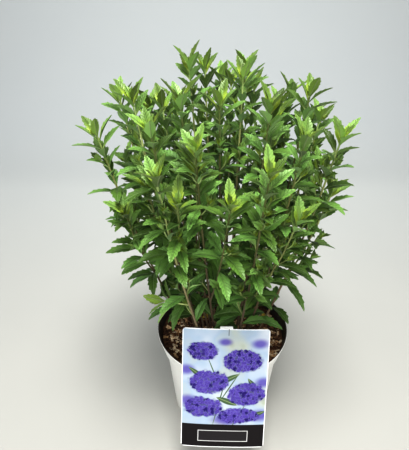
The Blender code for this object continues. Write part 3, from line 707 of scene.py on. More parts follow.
def print_sky(tree, place, spot):
    """A blurred pale sky with far flower heads."""
    colour = colour_ramp(tree, cloud(tree, place, 0.022, 2.0), SKY_COLOURS)
    for x, y, half_width, half_height in FAR_HEADS:
        inputs = {"Centre": (x, y, 0), "Radii": (half_width, half_height, 1), "Softness": 0.75}
        mask = use_group(tree, spot, Place=place, **inputs)["Mask"]
        colour = tint(tree, mask, 0.85, colour, (0.09, 0.055, 0.34, 1))
    return colour


def print_leaves(tree, place, colour):
    """Stalks and leaves over the sky."""
    blade = blade_group()
    for x, y, half_length, half_width, turn in STALKS + PRINTED_LEAVES:
        inputs = {"Centre": (x, y, 0), "Size": (half_length, half_width, 1), "Turn": -turn}
        shape = use_group(tree, blade, Place=place, **inputs)
        green = blend_colours(tree, shape["Rib"], (0.07, 0.12, 0.06, 1), (0.26, 0.32, 0.16, 1))
        colour = blend_colours(tree, shape["Mask"], colour, green)
    return colour


def print_flowers(tree, place, spot, colour):
    """The near flower heads: uneven violet rounds, set with two layers of small blossoms."""
    blossoms = blossom_group()
    wander = add_node(tree, "ShaderNodeTexNoise", {"Vector": place, "Scale": 0.16, "Detail": 2.0}).outputs[1]
    shifted = vector_math(tree, "MULTIPLY_ADD", wander, (HEAD_WANDER, HEAD_WANDER, 0.0), place)
    heads = 0.0
    for x, y, half_width, half_height in FLOWER_HEADS:
        centre = (x + HEAD_WANDER / 2, y + HEAD_WANDER / 2, 0)
        inputs = {"Centre": centre, "Radii": (half_width, half_height, 1), "Softness": 0.3}
        heads = calculate(tree, "MAXIMUM", heads, use_group(tree, spot, Place=shifted, **inputs)["Mask"])
    stops = ((0.35, 0.014, 0.009, 0.08), (0.7, 0.06, 0.035, 0.27))
    colour = tint(tree, heads, 0.85, colour, colour_ramp(tree, cloud(tree, place, 0.5, 3.0), stops))
    for spacing, petal, pale in BLOSSOM_LAYERS:
        field = use_group(tree, blossoms, Place=place, Spacing=spacing, Petal=petal)
        petals = colour_ramp(tree, field["Reach"], PETAL_COLOURS)
        darker = soft_step(tree, field["Tone"], 0.25 + pale, 0.85)
        petals = blend_colours(tree, darker, petals, (0.022, 0.012, 0.13, 1))
        mask = multiply(tree, field["Mask"], soft_step(tree, heads, 0.25, 0.6))
        colour = blend_colours(tree, mask, colour, petals)
    return colour


def print_frames(tree, place, colour):
    """The dark band with its ruled plate, the white margin, and painted shade in the slit near the top."""
    ruled_frame = border_group()
    band = calculate(tree, "LESS_THAN", axes(tree, place)["Y"], BAND_HEIGHT)
    colour = blend_colours(tree, band, colour, (0.012, 0.01, 0.011, 1))
    plate = use_group(tree, ruled_frame, Place=place, Centre=PLATE_CENTRE, Half=PLATE_HALF, Line=PLATE_LINE)
    colour = blend_colours(tree, plate["Inside"], colour, (0.022, 0.02, 0.022, 1))
    colour = blend_colours(tree, plate["Edge"], colour, (0.62, 0.62, 0.62, 1))
    middle = (PRINT_SIZE[0] / 2, PRINT_SIZE[1] / 2, 0)
    inset = (middle[0] - MARGIN, middle[1] - MARGIN, 1.0)
    margin = use_group(tree, ruled_frame, Place=place, Centre=middle, Half=inset, Line=0.1)
    colour = blend_colours(tree, margin["Inside"], (0.85, 0.86, 0.87, 1), colour)
    # Painted shade: the slit is not cut through, and a dark line stands in for the shade inside it
    slit = use_group(tree, ruled_frame, Place=place, Centre=SLIT_CENTRE, Half=SLIT_HALF, Line=0.0)
    return blend_colours(tree, slit["Inside"], colour, (0.04, 0.03, 0.03, 1))


def printed_picture():
    """The card's face: violet flower heads on a pale sky over a plain dark band, under clear gloss."""
    material, tree, shader = new_finish("printed_picture", Coat_Roughness=0.12, Specular_IOR_Level=0.12)
    uv = add_node(tree, "ShaderNodeUVMap", uv_map="print").outputs[0]
    place = vector_math(tree, "MULTIPLY", uv, (*PRINT_SIZE, 1.0))
    spot = spot_group()
    colour = print_leaves(tree, place, print_sky(tree, place, spot))
    colour = print_frames(tree, place, print_flowers(tree, place, spot, colour))
    grain = use_group(tree, moulded_plastic, Vector=object_place(tree), Size=1.0)
    paint(tree, shader, colour, grain["Flow"], 0.15, 0.25)
    tree.links.new(calculate(tree, "MULTIPLY_ADD", grain["Flow"], 0.1, 0.02), shader.inputs["Coat Weight"])
    raise_surface(tree, shader, grain["Height"], 0.00003)
    return material


def white_plastic():
    """The card's bare back, edges and tongue: white, a little mottled, with a satin face."""
    material, tree, shader = new_finish("white_plastic", Specular_IOR_Level=0.5)
    place = object_place(tree)
    marks = use_group(tree, moulded_plastic, Vector=place, Size=1.0)
    colour = colour_ramp(tree, marks["Flow"], ((0.3, 0.78, 0.78, 0.76), (0.7, 0.86, 0.87, 0.87)))
    parts = axes(tree, place)
    low = soft_step(tree, parts["Z"], SOIL_TOP + 0.02, SOIL_TOP - 0.004)
    soiled = multiply(tree, low, calculate(tree, "GREATER_THAN", parts["Y"], TONGUE_Y - 0.004))
    colour = tint(tree, soiled, marks["Flow"], colour, (0.2, 0.13, 0.08, 1))
    paint(tree, shader, colour, marks["Flow"], 0.2, 0.28)
    raise_surface(tree, shader, marks["Height"], 0.00003)
    return material


def make_card(picture, plain):
    """The card with rounded corners, bowed a little from side to side, printed on its face."""
    bm = bmesh.new()
    bmesh.ops.create_grid(bm, x_segments=CARD_COLUMNS, y_segments=CARD_ROWS, size=0.5)
    corners = [vert for vert in bm.verts if len(vert.link_edges) == 2]
    middle = CARD_ABOVE_RIM - CARD_LENGTH / 2
    for vert in bm.verts:
        vert.co = Vector((vert.co.x * CARD_WIDTH, 0.0, vert.co.y * CARD_LENGTH + middle))
    bmesh.ops.bevel(
        bm, geom=corners, affect="VERTICES", offset=CARD_CORNER * CORNER_CUT, segments=CORNER_STEPS,
        profile=0.5, material=-1
    )
    for face in bm.faces:
        if face.normal.y > 0:
            face.normal_flip()
    bmesh.ops.solidify(bm, geom=bm.faces[:], thickness=CARD_THICKNESS)
    layer = bm.loops.layers.uv.new("print")
    for face in bm.faces:
        face.normal_update()
        face.material_index = 0 if face.normal.y < -FACING else 1
        for loop in face.loops:
            co = loop.vert.co
            loop[layer].uv = (co.x / CARD_WIDTH + 0.5, (co.z - middle) / CARD_LENGTH + 0.5)
    lowest = min(vert.co.y for vert in bm.verts)
    for vert in bm.verts:
        vert.co.y -= lowest + CARD_THICKNESS / 2
        past_middle = max(0.0, abs(vert.co.x) - TONGUE_WIDTH / 2 - TONGUE_ROOM)
        vert.co.y += CARD_BEND * past_middle**2
        vert.co = card_matrix() @ vert.co
    card = add_piece("picture_card", bm, (picture, plain))
    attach(card, "root")
    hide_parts("label")


def make_tongue(plain):
    """The narrow strip from behind the card's top edge, over its fold and down into the mix."""
    place = card_matrix()
    inside_card = place @ Vector((0.0, CARD_THICKNESS, CARD_ABOVE_RIM - TONGUE_OVERLAP))
    top = place @ Vector((0.0, CARD_THICKNESS, CARD_ABOVE_RIM))
    upward = Vector((0.0, math.sin(CARD_LEAN), math.cos(CARD_LEAN)))
    backward = Vector((0.0, math.cos(CARD_LEAN), -math.sin(CARD_LEAN)))
    path = [inside_card, top]
    for turn in range(FOLD_STEP, 181, FOLD_STEP):
        angle = math.radians(turn)
        path.append(top + TONGUE_FOLD * (upward * math.sin(angle) + backward * (1 - math.cos(angle))))
    path += [Vector((0.0, TONGUE_Y, TONGUE_UPRIGHT_FROM)), Vector((0.0, TONGUE_Y, SOIL_TOP - TONGUE_DEPTH))]
    bm = bmesh.new()
    first = bm.verts.new(path[0] - Vector((TONGUE_WIDTH / 2, 0, 0)))
    second = bm.verts.new(path[0] + Vector((TONGUE_WIDTH / 2, 0, 0)))
    edge = bm.edges.new((first, second))
    for start, end in zip(path, path[1:]):
        grown = bmesh.ops.extrude_edge_only(bm, edges=[edge])["geom"]
        verts = [item for item in grown if isinstance(item, bmesh.types.BMVert)]
        bmesh.ops.translate(bm, verts=verts, vec=end - start)
        edge = next(item for item in grown if isinstance(item, bmesh.types.BMEdge) and item.is_boundary
                    and all(vert in verts for vert in item.verts))
    bmesh.ops.recalc_face_normals(bm, faces=bm.faces)
    bmesh.ops.solidify(bm, geom=bm.faces[:], thickness=TONGUE_THICKNESS)
    tongue = add_piece("card_tongue", bm, (plain,))
    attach(tongue, "root")
    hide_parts("label")


plain_white = white_plastic()
make_card(printed_picture(), plain_white)
make_tongue(plain_white)

# The leafy stems
# Thirty upright shoots of a young shrub, many forked low down, woody and brown at the foot and pale
# green at the tip. Their toothed, lance-shaped leaves stand in crosswise pairs, with small side shoots
# in the axils. The layout repeats the solids' own rule, and the finer leaves then fill in between.
LAYOUT_SEED = 5
LEAF_SEED = 8
FILLING_SEED = 31
SHED_SEED = 41
STEM_COUNT = 30
STEM_DEPTH = 0.024
STEM_COLLAR = 0.006
STEM_SPREAD = 0.052
STEM_FOOT_RADIUS = 0.0016
STEM_TIP_RADIUS = 0.00095
STEM_POINTS = 4
FORK_POINTS = 3
CROWN_RADIUS = 0.14
CROWN_TOP = 0.488
CROWN_DROP = 0.05
CROWN_CENTRE = Vector((-0.01, 0.0))
CROWN_SHIFT_HEIGHT = 0.3
CROWN_UNEVENNESS = (-0.022, 0.018)
STEM_TURN_SCATTER = 0.12
TIP_SPREAD = 0.85
TIP_SCATTER = (0.93, 1.05)
STEM_LEAN = 0.62
FORK_LEAN = 0.66
BEND_HEIGHT = 0.45
LEADER = 1
LEADER_RISE = 0.016
FORK_FROM = 0.4
FORK_LOW = 0.25
FORK_HIGH = 0.4
FORK_INNER_RISE = 0.06
FORK_REACH = (0.74, 0.26)
FORK_SWELL = 1.15
FORK_START = (0.3, 0.9)
FORK_LEVEL_BIAS = 0.8
FORK_SPREAD = 0.5
FORK_SCATTER = (0.95, 1.04)
FORK_TURNS = (0.3, -0.3, 0.45, -0.45, 0.6, -0.6, 0.15, -0.15)
INNER_LEAFY_LENGTH = 0.05
LEAFY_LENGTH = 0.13
OUTER_LEAFY_LENGTH = 0.26
OUTER_FROM = 0.8

# Room kept round the pieces that shoots and leaves must not touch
CLEARANCE = 0.0004
RIM_ROOM = 0.0015
SOIL_ROOM = 0.005
SOIL_EDGE_ROOM = 0.004
GUARD_STEPS = 36
GUARD_SWELL = 1.25
SIDE_HINT = (0.3, 1.0, 0.1)
NEARLY_UPRIGHT = 0.05
CARD_ROOM = 0.004
CARD_ROOM_ABOVE = 0.01
CARD_GUARD_DEPTHS = (-0.02, -0.01, -0.003, 0.004)
VIEW_OF_CARD_FRONT = -0.07
VIEW_OF_CARD_TOP = 0.27
TONGUE_ROOM_ABOVE = 0.08
TONGUE_GUARD_DEPTHS = (-0.004, 0.004)
MOST_GUARDS = 12000

# Leaves, from the young ones at a shoot's tip to the full-grown ones down its length
YOUNG_LENGTH = 0.031
YOUNG_HALF_WIDTH = 0.0054
YOUNG_SPREAD = math.radians(24)
YOUNG_ARCH = math.radians(16)
FULL_LENGTH = 0.053
FULL_HALF_WIDTH = 0.0074
FULL_SPREAD = math.radians(76)
FULL_ARCH = math.radians(52)
GROWING_DISTANCE = 0.1
OPENING_DISTANCE = 0.045
LEAF_DISTANCES = (0.002, 0.016, 0.062, 0.205)
LEAF_SIZES = (0.93, 1.07)
LEAF_SPREAD_SCATTER = (-0.1, 0.1)
LEAF_ARCH_SCATTER = (-0.1, 0.15)
LEAF_PLACE_SCATTER = (0.9, 1.1)
LEAF_TURN_SCATTER = (-0.3, 0.3)
# Each try turns a leaf round its stem, lifts it and scales it
LEAF_TRIES = (
    (0.0, 0.0, 1.0),
    (0.25, 0.0, 1.0),
    (-0.25, 0.0, 1.0),
    (0.0, 0.2, 1.0),
    (0.0, -0.2, 1.0),
    (0.5, 0.1, 0.97),
    (-0.5, 0.1, 0.97),
    (0.3, -0.3, 0.94),
    (-0.3, -0.3, 0.94),
    (0.75, 0.0, 0.9),
    (-0.75, 0.0, 0.9),
    (0.0, 0.4, 0.86),
    (0.0, -0.45, 0.86),
)
LEAF_HALF_THICKNESS = 0.00065
LEAF_ROOT_SINK = 0.0006
LEAF_FOLD = 0.35
GUARD_STATIONS = ((0.04, 0.25), (0.38, 1.08), (0.62, 1.12), (0.84, 0.75), (1.02, 0.12))


def guard(verts, faces):
    """A surface that shoots and leaves have to stay clear of, with the ball that holds it."""
    centre = sum(verts, Vector()) / len(verts)
    reach = max((vert - centre).length for vert in verts)
    return {"tree": BVHTree.FromPolygons(verts, faces), "centre": centre, "reach": reach}


def new_crowd():
    """All the guards so far, with their balls in arrays that are quick to search."""
    return {"guards": [], "balls": np.zeros((MOST_GUARDS, 4))}


def join_crowd(crowd, newcomer):
    crowd["balls"][len(crowd["guards"])] = (*newcomer["centre"], newcomer["reach"])
    crowd["guards"].append(newcomer)


def is_clear(candidate, crowd, own):
    """Whether a surface crosses none of the guards except the ones that it grows with."""
    balls = crowd["balls"][: len(crowd["guards"])]
    apart = np.linalg.norm(balls[:, :3] - np.array(candidate["centre"]), axis=1)
    for i in np.nonzero(apart <= balls[:, 3] + candidate["reach"])[0]:
        other = crowd["guards"][i]
        if any(other is fellow for fellow in own):
            continue
        if other["tree"].overlap(candidate["tree"]):
            return False
    return True


def ring_faces(rings, steps):
    """The faces between closed rings of corners that follow one another."""
    faces = []
    for near in range(0, (rings - 1) * steps, steps):
        for i in range(steps):
            j = (i + 1) % steps
            faces.append((near + i, near + j, near + steps + j, near + steps + i))
    return faces


def upright_corners(half_width, y, low, high):
    """The corners of an upright rectangle across the front."""
    corners = ((-half_width, low), (half_width, low), (half_width, high), (-half_width, high))
    return [Vector((x, y, z)) for x, z in corners]


def fixed_guards(crowd):
    """The pot's rim, the surface of the mix and the card with its tongue, each a little proud."""
    profile = (
        (0.0, SOIL_TOP + SOIL_ROOM),
        (POT_RIM_RADIUS - 4 * RIM_ROOM, SOIL_TOP + SOIL_EDGE_ROOM),
        (POT_RIM_RADIUS - POT_WALL - RIM_ROOM, POT_HEIGHT),
        (POT_RIM_RADIUS - POT_WALL / 2, POT_HEIGHT + RIM_ROOM),
        (POT_RIM_RADIUS + RIM_ROOM, POT_HEIGHT),
        (POT_NECK_RADIUS + RIM_ROOM, POT_NECK_Z),
    )
    verts = []
    for radius, z in profile:
        for i in range(GUARD_STEPS):
            angle = math.tau * i / GUARD_STEPS
            verts.append(Vector((radius * math.cos(angle), radius * math.sin(angle), z)))
    join_crowd(crowd, guard(verts, ring_faces(len(profile), GUARD_STEPS)))
    half = CARD_WIDTH / 2 + CARD_ROOM
    top = CARD_ABOVE_RIM + CARD_ROOM_ABOVE
    for depth in CARD_GUARD_DEPTHS:
        corners = upright_corners(half, depth, -CARD_LENGTH, top)
        join_crowd(crowd, guard([card_matrix() @ corner for corner in corners], [(0, 1, 2, 3)]))
    half = TONGUE_WIDTH / 2 + TONGUE_ROOM
    for depth in TONGUE_GUARD_DEPTHS:
        corners = upright_corners(half, TONGUE_Y + depth, SOIL_TOP, SOIL_TOP + TONGUE_ROOM_ABOVE)
        join_crowd(crowd, guard(corners, [(0, 1, 2, 3)]))


def tube_guard(points, radii):
    """A square tube a little thicker than a shoot."""
    verts = []
    for i, point in enumerate(points):
        ahead = points[min(i + 1, len(points) - 1)] - points[max(i - 1, 0)]
        side = ahead.cross(Vector(SIDE_HINT)).normalized()
        other = ahead.cross(side).normalized()
        reach = radii[i] * GUARD_SWELL + CLEARANCE
        for turn in range(4):
            angle = math.tau * turn / 4
            verts.append(point + reach * (side * math.cos(angle) + other * math.sin(angle)))
    return guard(verts, ring_faces(len(points), 4))


def bowed_path(start, tip, lean_out, count):
    """Points along a shoot that leaves its start leaning out and turns up towards its tip."""
    out = Vector((tip.x - start.x, tip.y - start.y, 0.0))
    bend = start + out * lean_out + Vector((0.0, 0.0, (tip.z - start.z) * BEND_HEIGHT))
    points = []
    for i in range(1, count + 1):
        t = i / count
        points.append(start * (1 - t) ** 2 + bend * 2 * t * (1 - t) + tip * t * t)
    return points


def crown_point(share, angle, height):
    """A place in the crown: a share of its radius, a direction, and a height."""
    radius = CROWN_RADIUS * share
    centre = CROWN_CENTRE * min(1.0, (height - SOIL_TOP) / CROWN_SHIFT_HEIGHT)
    x = centre.x + radius * math.cos(angle)
    y = centre.y + radius * math.sin(angle)
    return Vector((x, y, height))


def new_shoot(points, radii, angle, leafy_length):
    """A stem's axis, or its fork's: where it runs, and how far down from its tip it bears leaves."""
    return {
        "points": points,
        "radii": radii,
        "angle": angle,
        "leafy_length": leafy_length,
        "leaves": [],
        "side_shoots": [],
        "kin": [],
        "guard": tube_guard(points, radii),
    }


def lay_out_stems(crowd):
    """Every stem: its foot on a sunflower spiral, its tip on the crown, and a fork low down."""
    rng = random.Random(LAYOUT_SEED)
    stems = []
    for i in range(STEM_COUNT):
        share = math.sqrt((i + 0.5) / STEM_COUNT)
        angle = i * GOLDEN_ANGLE + rng.uniform(-STEM_TURN_SCATTER, STEM_TURN_SCATTER)
        x = STEM_SPREAD * share * math.cos(angle)
        y = STEM_SPREAD * share * math.sin(angle)
        foot = Vector((x, y, SOIL_TOP - STEM_DEPTH))
        collar = Vector((x, y, SOIL_TOP + STEM_COLLAR))
        height = CROWN_TOP - CROWN_DROP * share**2 + rng.uniform(*CROWN_UNEVENNESS)
        if i == LEADER:
            height = CROWN_TOP + LEADER_RISE
        tip = crown_point(share**TIP_SPREAD * rng.uniform(*TIP_SCATTER), angle, height)
        points = [foot, collar] + bowed_path(collar, tip, STEM_LEAN, STEM_POINTS)
        last = len(points) - 1
        taper = (STEM_TIP_RADIUS - STEM_FOOT_RADIUS) / last
        radii = [STEM_FOOT_RADIUS + taper * k for k in range(last + 1)]
        leafy_length = LEAFY_LENGTH if share > FORK_FROM else INNER_LEAFY_LENGTH
        if share > OUTER_FROM:
            leafy_length = OUTER_LEAFY_LENGTH
        shoot = new_shoot(points, radii, angle, leafy_length)
        stems.append({"points": points, "angle": angle, "share": share, "shoots": [shoot]})
        join_crowd(crowd, shoot["guard"])
    for stem in stems:
        add_fork(stem, crowd, rng)
    return stems


def hides_card(point):
    """Whether a place lies out in front of the card."""
    ahead = point.y < VIEW_OF_CARD_FRONT and point.z < VIEW_OF_CARD_TOP
    return ahead and abs(point.x) < CARD_WIDTH / 2 + CARD_ROOM


def add_fork(stem, crowd, rng):
    """A side shoot that leaves its stem low down and fills the flank of the crown."""
    if stem["share"] < FORK_FROM:
        return
    start = stem["points"][2].lerp(stem["points"][3], rng.uniform(*FORK_START))
    level = rng.uniform(0.0, 1.0) ** FORK_LEVEL_BIAS
    height = FORK_LOW + (FORK_HIGH - FORK_LOW) * level + FORK_INNER_RISE * (1 - stem["share"])
    reach = FORK_REACH[0] + FORK_REACH[1] * level
    share = reach * stem["share"] ** FORK_SPREAD * rng.uniform(*FORK_SCATTER)
    for turn in FORK_TURNS:
        tip = crown_point(share, stem["angle"] + turn, height)
        if hides_card(tip):
            continue
        points = [start] + bowed_path(start, tip, FORK_LEAN, FORK_POINTS)
        radii = [STEM_TIP_RADIUS * FORK_SWELL] + [STEM_TIP_RADIUS] * FORK_POINTS
        shoot = new_shoot(points, radii, stem["angle"] + turn, LEAFY_LENGTH)
        if is_clear(shoot["guard"], crowd, [stem["shoots"][0]["guard"]]):
            join_crowd(crowd, shoot["guard"])
            stem["shoots"].append(shoot)
            return


def point_from_tip(points, distance):
    """The place on a shoot at a distance back from its tip, and the shoot's direction there."""
    for i in range(len(points) - 1, 0, -1):
        step = points[i - 1] - points[i]
        if distance <= step.length:
            return points[i] + step.normalized() * distance, -step.normalized()
        distance -= step.length
    return points[0].copy(), (points[1] - points[0]).normalized()


def leaf_frame(place, direction, twist):
    """A frame at a leaf's root: X along its stem's direction, Y outward from the stem."""
    side = direction.cross(Vector((0.0, 0.0, 1.0)))
    if side.length < NEARLY_UPRIGHT:
        side = direction.cross(Vector((1.0, 0.0, 0.0)))
    outward = Quaternion(direction, twist) @ side.normalized()
    return {"place": place, "up": direction, "out": outward}


def leaf_point(frame, kind, along, across, lift):
    """A place on a leaf: a share of its length and half width, and a height over the blade."""
    length, half_width, spread, arch = kind
    up = frame["up"]
    out = frame["out"]
    turned = spread + arch * along
    face = up * math.sin(turned) - out * math.cos(turned)
    run_up = length / arch * (math.sin(turned) - math.sin(spread))
    run_out = length / arch * (math.cos(spread) - math.cos(turned))
    rib = frame["place"] + out * (run_out - LEAF_ROOT_SINK) + up * run_up
    width = half_width * across
    return rib + out.cross(up) * width + face * (lift + LEAF_FOLD * abs(width))


def leaf_guard(frame, kind):
    """A closed skin round a leaf's blade, used to keep leaves clear of each other."""
    skin = LEAF_HALF_THICKNESS + CLEARANCE
    verts = []
    for along, across in GUARD_STATIONS:
        for share, lift in ((-across, 0), (0, skin), (across, 0), (0, -skin)):
            verts.append(leaf_point(frame, kind, along, share, lift))
    return guard(verts, ring_faces(len(GUARD_STATIONS), 4))


def leaf_kind(distance, rng):
    """Leaves grow longer and spread wider the further they stand below the tip of their shoot."""
    grown = 1 - math.exp(-distance / GROWING_DISTANCE)
    opened = 1 - math.exp(-distance / OPENING_DISTANCE)
    size = rng.uniform(*LEAF_SIZES)
    length = size * (YOUNG_LENGTH + (FULL_LENGTH - YOUNG_LENGTH) * grown)
    half_width = size * (YOUNG_HALF_WIDTH + (FULL_HALF_WIDTH - YOUNG_HALF_WIDTH) * grown)
    spread = YOUNG_SPREAD + (FULL_SPREAD - YOUNG_SPREAD) * opened + rng.uniform(*LEAF_SPREAD_SCATTER)
    arch = YOUNG_ARCH + (FULL_ARCH - YOUNG_ARCH) * opened + rng.uniform(*LEAF_ARCH_SCATTER)
    return length, half_width, spread, arch


def place_leaves(shoots, distances, crowd, rng):
    """Sets opposite leaves on each shoot, crosswise pair by pair, each turned until it is clear."""
    for row, distance in enumerate(distances):
        for shoot in shoots:
            if distance > shoot["leafy_length"]:
                continue
            place, direction = point_from_tip(shoot["points"], distance * rng.uniform(*LEAF_PLACE_SCATTER))
            twist = shoot["angle"] + row * math.pi / 2 + rng.uniform(*LEAF_TURN_SCATTER)
            own = [shoot["guard"]]
            for half_turn in (0.0, math.pi):
                kind = leaf_kind(distance, rng)
                found = clear_leaf(place, direction, twist + half_turn, kind, crowd, own)
                if found:
                    own.append(found[2])
                    keep_leaf(shoot, found, distance, crowd)


def clear_leaf(place, direction, twist, kind, crowd, own):
    """The first of a few turned, lifted and shortened positions where a leaf touches nothing."""
    length, half_width, spread, arch = kind
    for turn, lift, size in LEAF_TRIES:
        frame = leaf_frame(place, direction, twist + turn)
        tried = (length * size, half_width * size, spread + lift, arch)
        skin = leaf_guard(frame, tried)
        if hides_card(leaf_point(frame, tried, 1.0, 0.0, 0.0)):
            continue
        if is_clear(skin, crowd, own):
            return frame, tried, skin
    return None


def keep_leaf(shoot, found, distance, crowd):
    """Notes a leaf that has found its place."""
    frame, kind, skin = found
    join_crowd(crowd, skin)
    shoot["leaves"].append({"frame": frame, "kind": kind, "distance": distance, "skin": skin})


# What only the finer pieces have: small leaves at every tip, more pairs down each shoot, and side
# shoots in the axils. A row is its distance from the tip, its size and how far its leaves open
TIP_TURN_SCATTER = (-0.25, 0.25)
TIP_ROWS = ((0.0, 0.34, 0.35), (0.0006, 0.62, 0.6), (0.0075, 0.98, 0.85))
FILLING_DISTANCES = (
    0.026, 0.038, 0.05, 0.075, 0.09, 0.107, 0.125, 0.145, 0.165, 0.185, 0.225, 0.245, 0.265, 0.285, 0.305,
)
FILLING_PLACE_SCATTER = (0.94, 1.06)
FILLING_TURN_SCATTER = (-0.4, 0.4)
FILLING_SIZES = (0.74, 0.96)
FILLING_OPENING = (0.5, 0.85)
BARE_FOOT = 0.012
FULL_ROWS = 5
FILLING_WIDTH = 1.12
LOWEST_LEAF = SOIL_TOP + 0.05
LOW_LEAF_CHANCE = 0.7
BARE_FRONT = -0.015
BARE_HEIGHT = SOIL_TOP + 0.04
KIN_ROOM = 0.005
SIDE_SHOOT_FROM = 0.035
SIDE_SHOOT_LENGTHS = (0.006, 0.034)
SIDE_SHOOT_GROWN = 0.14
SIDE_SHOOT_SHARES = (0.35, 1.0)
SIDE_SHOOT_RADIUS = 0.0007
SIDE_SHOOT_LIFT = 0.0015
SIDE_SHOOT_BENDS = ((0.75, 0.65), (0.95, 0.3))
SIDE_SHOOT_AGE = 0.04
SIDE_SHOOT_AGED = 0.3
SIDE_SHOOT_LEAFY = 0.8
SIDE_SHOOT_CHANCE = 0.6
SIDE_SHOOT_LOWEST = SOIL_TOP + 0.09
SIDE_SHOOT_FREE_LENGTH = 0.012
SIDE_ROWS = ((0.0, 0.36, 0.5), (0.003, 0.55, 0.8), (0.011, 0.66, 1.0), (0.021, 0.74, 1.1))


def near_kin(shoot, place):
    """The guards of a shoot's leaves that grow from nearly the same spot."""
    return [leaf["skin"] for leaf in shoot["leaves"] if (leaf["frame"]["place"] - place).length < KIN_ROOM]


def shades_mix(frame, kind):
    """Whether a leaf hangs low over the front of the mix, which lies bare."""
    tip = leaf_point(frame, kind, 1.0, 0.0, 0.0)
    return tip.y < BARE_FRONT and tip.z < BARE_HEIGHT


def place_row(shoot, distance, size, opening, twist, crowd, rng):
    """One pair of the finer leaves, sized and opened for its place on the shoot."""
    place, direction = point_from_tip(shoot["points"], distance)
    own = [shoot["guard"]] + shoot["kin"] + near_kin(shoot, place)
    for half_turn in (0.0, math.pi):
        length, half_width, spread, arch = leaf_kind(distance, rng)
        kind = (length * size, half_width * size * FILLING_WIDTH, spread * opening, arch)
        found = clear_leaf(place, direction, twist + half_turn, kind, crowd, own)
        if found and not shades_mix(*found[:2]):
            own.append(found[2])
            keep_leaf(shoot, found, distance, crowd)


def shoot_length(points):
    return sum((second - first).length for first, second in zip(points, points[1:]))


def fill_shoot(shoot, crowd, rng):
    """More pairs from a shoot's bud down to just above the mix."""
    for row, (distance, size, opening) in enumerate(TIP_ROWS):
        twist = shoot["angle"] + (row + 1) * math.pi / 2 + rng.uniform(*TIP_TURN_SCATTER)
        place_row(shoot, distance, size, opening, twist, crowd, rng)
    longest = shoot_length(shoot["points"]) - BARE_FOOT
    for row, distance in enumerate(FILLING_DISTANCES):
        distance *= rng.uniform(*FILLING_PLACE_SCATTER)
        place = point_from_tip(shoot["points"], distance)[0]
        if row >= FULL_ROWS and rng.random() > LOW_LEAF_CHANCE:
            continue
        if distance < longest and place.z > LOWEST_LEAF:
            twist = shoot["angle"] + row * math.pi / 2 + rng.uniform(*FILLING_TURN_SCATTER)
            opening = rng.uniform(*FILLING_OPENING)
            size = rng.uniform(*FILLING_SIZES)
            place_row(shoot, distance, size, opening, twist, crowd, rng)


def add_side_shoots(shoot, crowd, rng):
    """Short leafy side shoots in the axils of the older leaves, longer the lower they stand."""
    shortest, longest = SIDE_SHOOT_LENGTHS
    for leaf in list(shoot["leaves"]):
        root = leaf["frame"]["place"]
        depth = leaf["distance"]
        if depth < SIDE_SHOOT_FROM or root.z < SIDE_SHOOT_LOWEST or rng.random() > SIDE_SHOOT_CHANCE:
            continue
        growth = (longest - shortest) * min(1.0, depth / SIDE_SHOOT_GROWN)
        length = shortest + growth * rng.uniform(*SIDE_SHOOT_SHARES)
        up = leaf["frame"]["up"]
        out = leaf["frame"]["out"]
        points = [root + up * SIDE_SHOOT_LIFT]
        for rise, lean in SIDE_SHOOT_BENDS:
            points.append(points[-1] + (up * rise + out * lean) * length * 0.5)
        side = new_shoot(points, [SIDE_SHOOT_RADIUS] * 3, rng.uniform(0, math.tau), length)
        side["kin"] = [shoot["guard"]] + near_kin(shoot, points[0])
        side["start_age"] = SIDE_SHOOT_AGE * min(1.0, depth / SIDE_SHOOT_AGED)
        if length > SIDE_SHOOT_FREE_LENGTH and not is_clear(side["guard"], crowd, side["kin"]):
            continue
        join_crowd(crowd, side["guard"])
        for row, (distance, size, opening) in enumerate(SIDE_ROWS):
            if distance < length * SIDE_SHOOT_LEAFY:
                twist = side["angle"] + row * math.pi / 2
                place_row(side, distance, size, opening, twist, crowd, rng)
        shoot["side_shoots"].append(side)


# The shape of one finer leaf: where its rib, and its toothed edge, lie at each station from the stalk
# to the tip, as shares of the length, and how wide it is there as a share of its half width
LEAF_STATIONS = (
    (0.0, 0.0, 0.1),
    (0.08, 0.08, 0.15),
    (0.2, 0.21, 0.45),
    (0.32, 0.35, 0.83),
    (0.42, 0.475, 1.02),
    (0.49, 0.495, 0.83),
    (0.57, 0.64, 0.96),
    (0.65, 0.66, 0.72),
    (0.73, 0.79, 0.76),
    (0.81, 0.81, 0.52),
    (0.92, 0.94, 0.27),
    (1.0, 1.0, 0.0),
)
SMALL_LEAF_STATIONS = (
    (0.0, 0.0, 0.12),
    (0.14, 0.14, 0.3),
    (0.32, 0.35, 0.86),
    (0.46, 0.53, 1.04),
    (0.55, 0.56, 0.8),
    (0.68, 0.76, 0.82),
    (0.79, 0.79, 0.5),
    (1.0, 1.0, 0.0),
)
SMALL_LEAF = 0.026
BLADE_HALF_THICKNESS = 0.00028
BLADE_BELLY = 0.00045
BLADE_ROLL = 0.28
BLADE_SWEEP = 0.07
BLADE_RIPPLE = 0.0007
TUBE_SIDES = 7
TUBE_STEP = 0.007
SIDE_TUBE_RINGS = 4
AGE_LENGTH = 0.26
BLADE_WAVES = (9, 17)
BLADE_COLUMNS = 4
LEAF_SHARP_EDGE = math.radians(50)
# Shed leaves on the mix, as (x, y, heading, length, half width), and how they lie
SHED_LEAVES = (
    (-0.03, 0.024, 0.4, 0.017, 0.0038), (0.06, 0.036, -0.9, 0.02, 0.004), (0.03, -0.05, 2.2, 0.014, 0.003),
)
SHED_RISE = 0.12
SHED_HEIGHT = 0.004
SHED_OPENING = (1.45, 0.5)


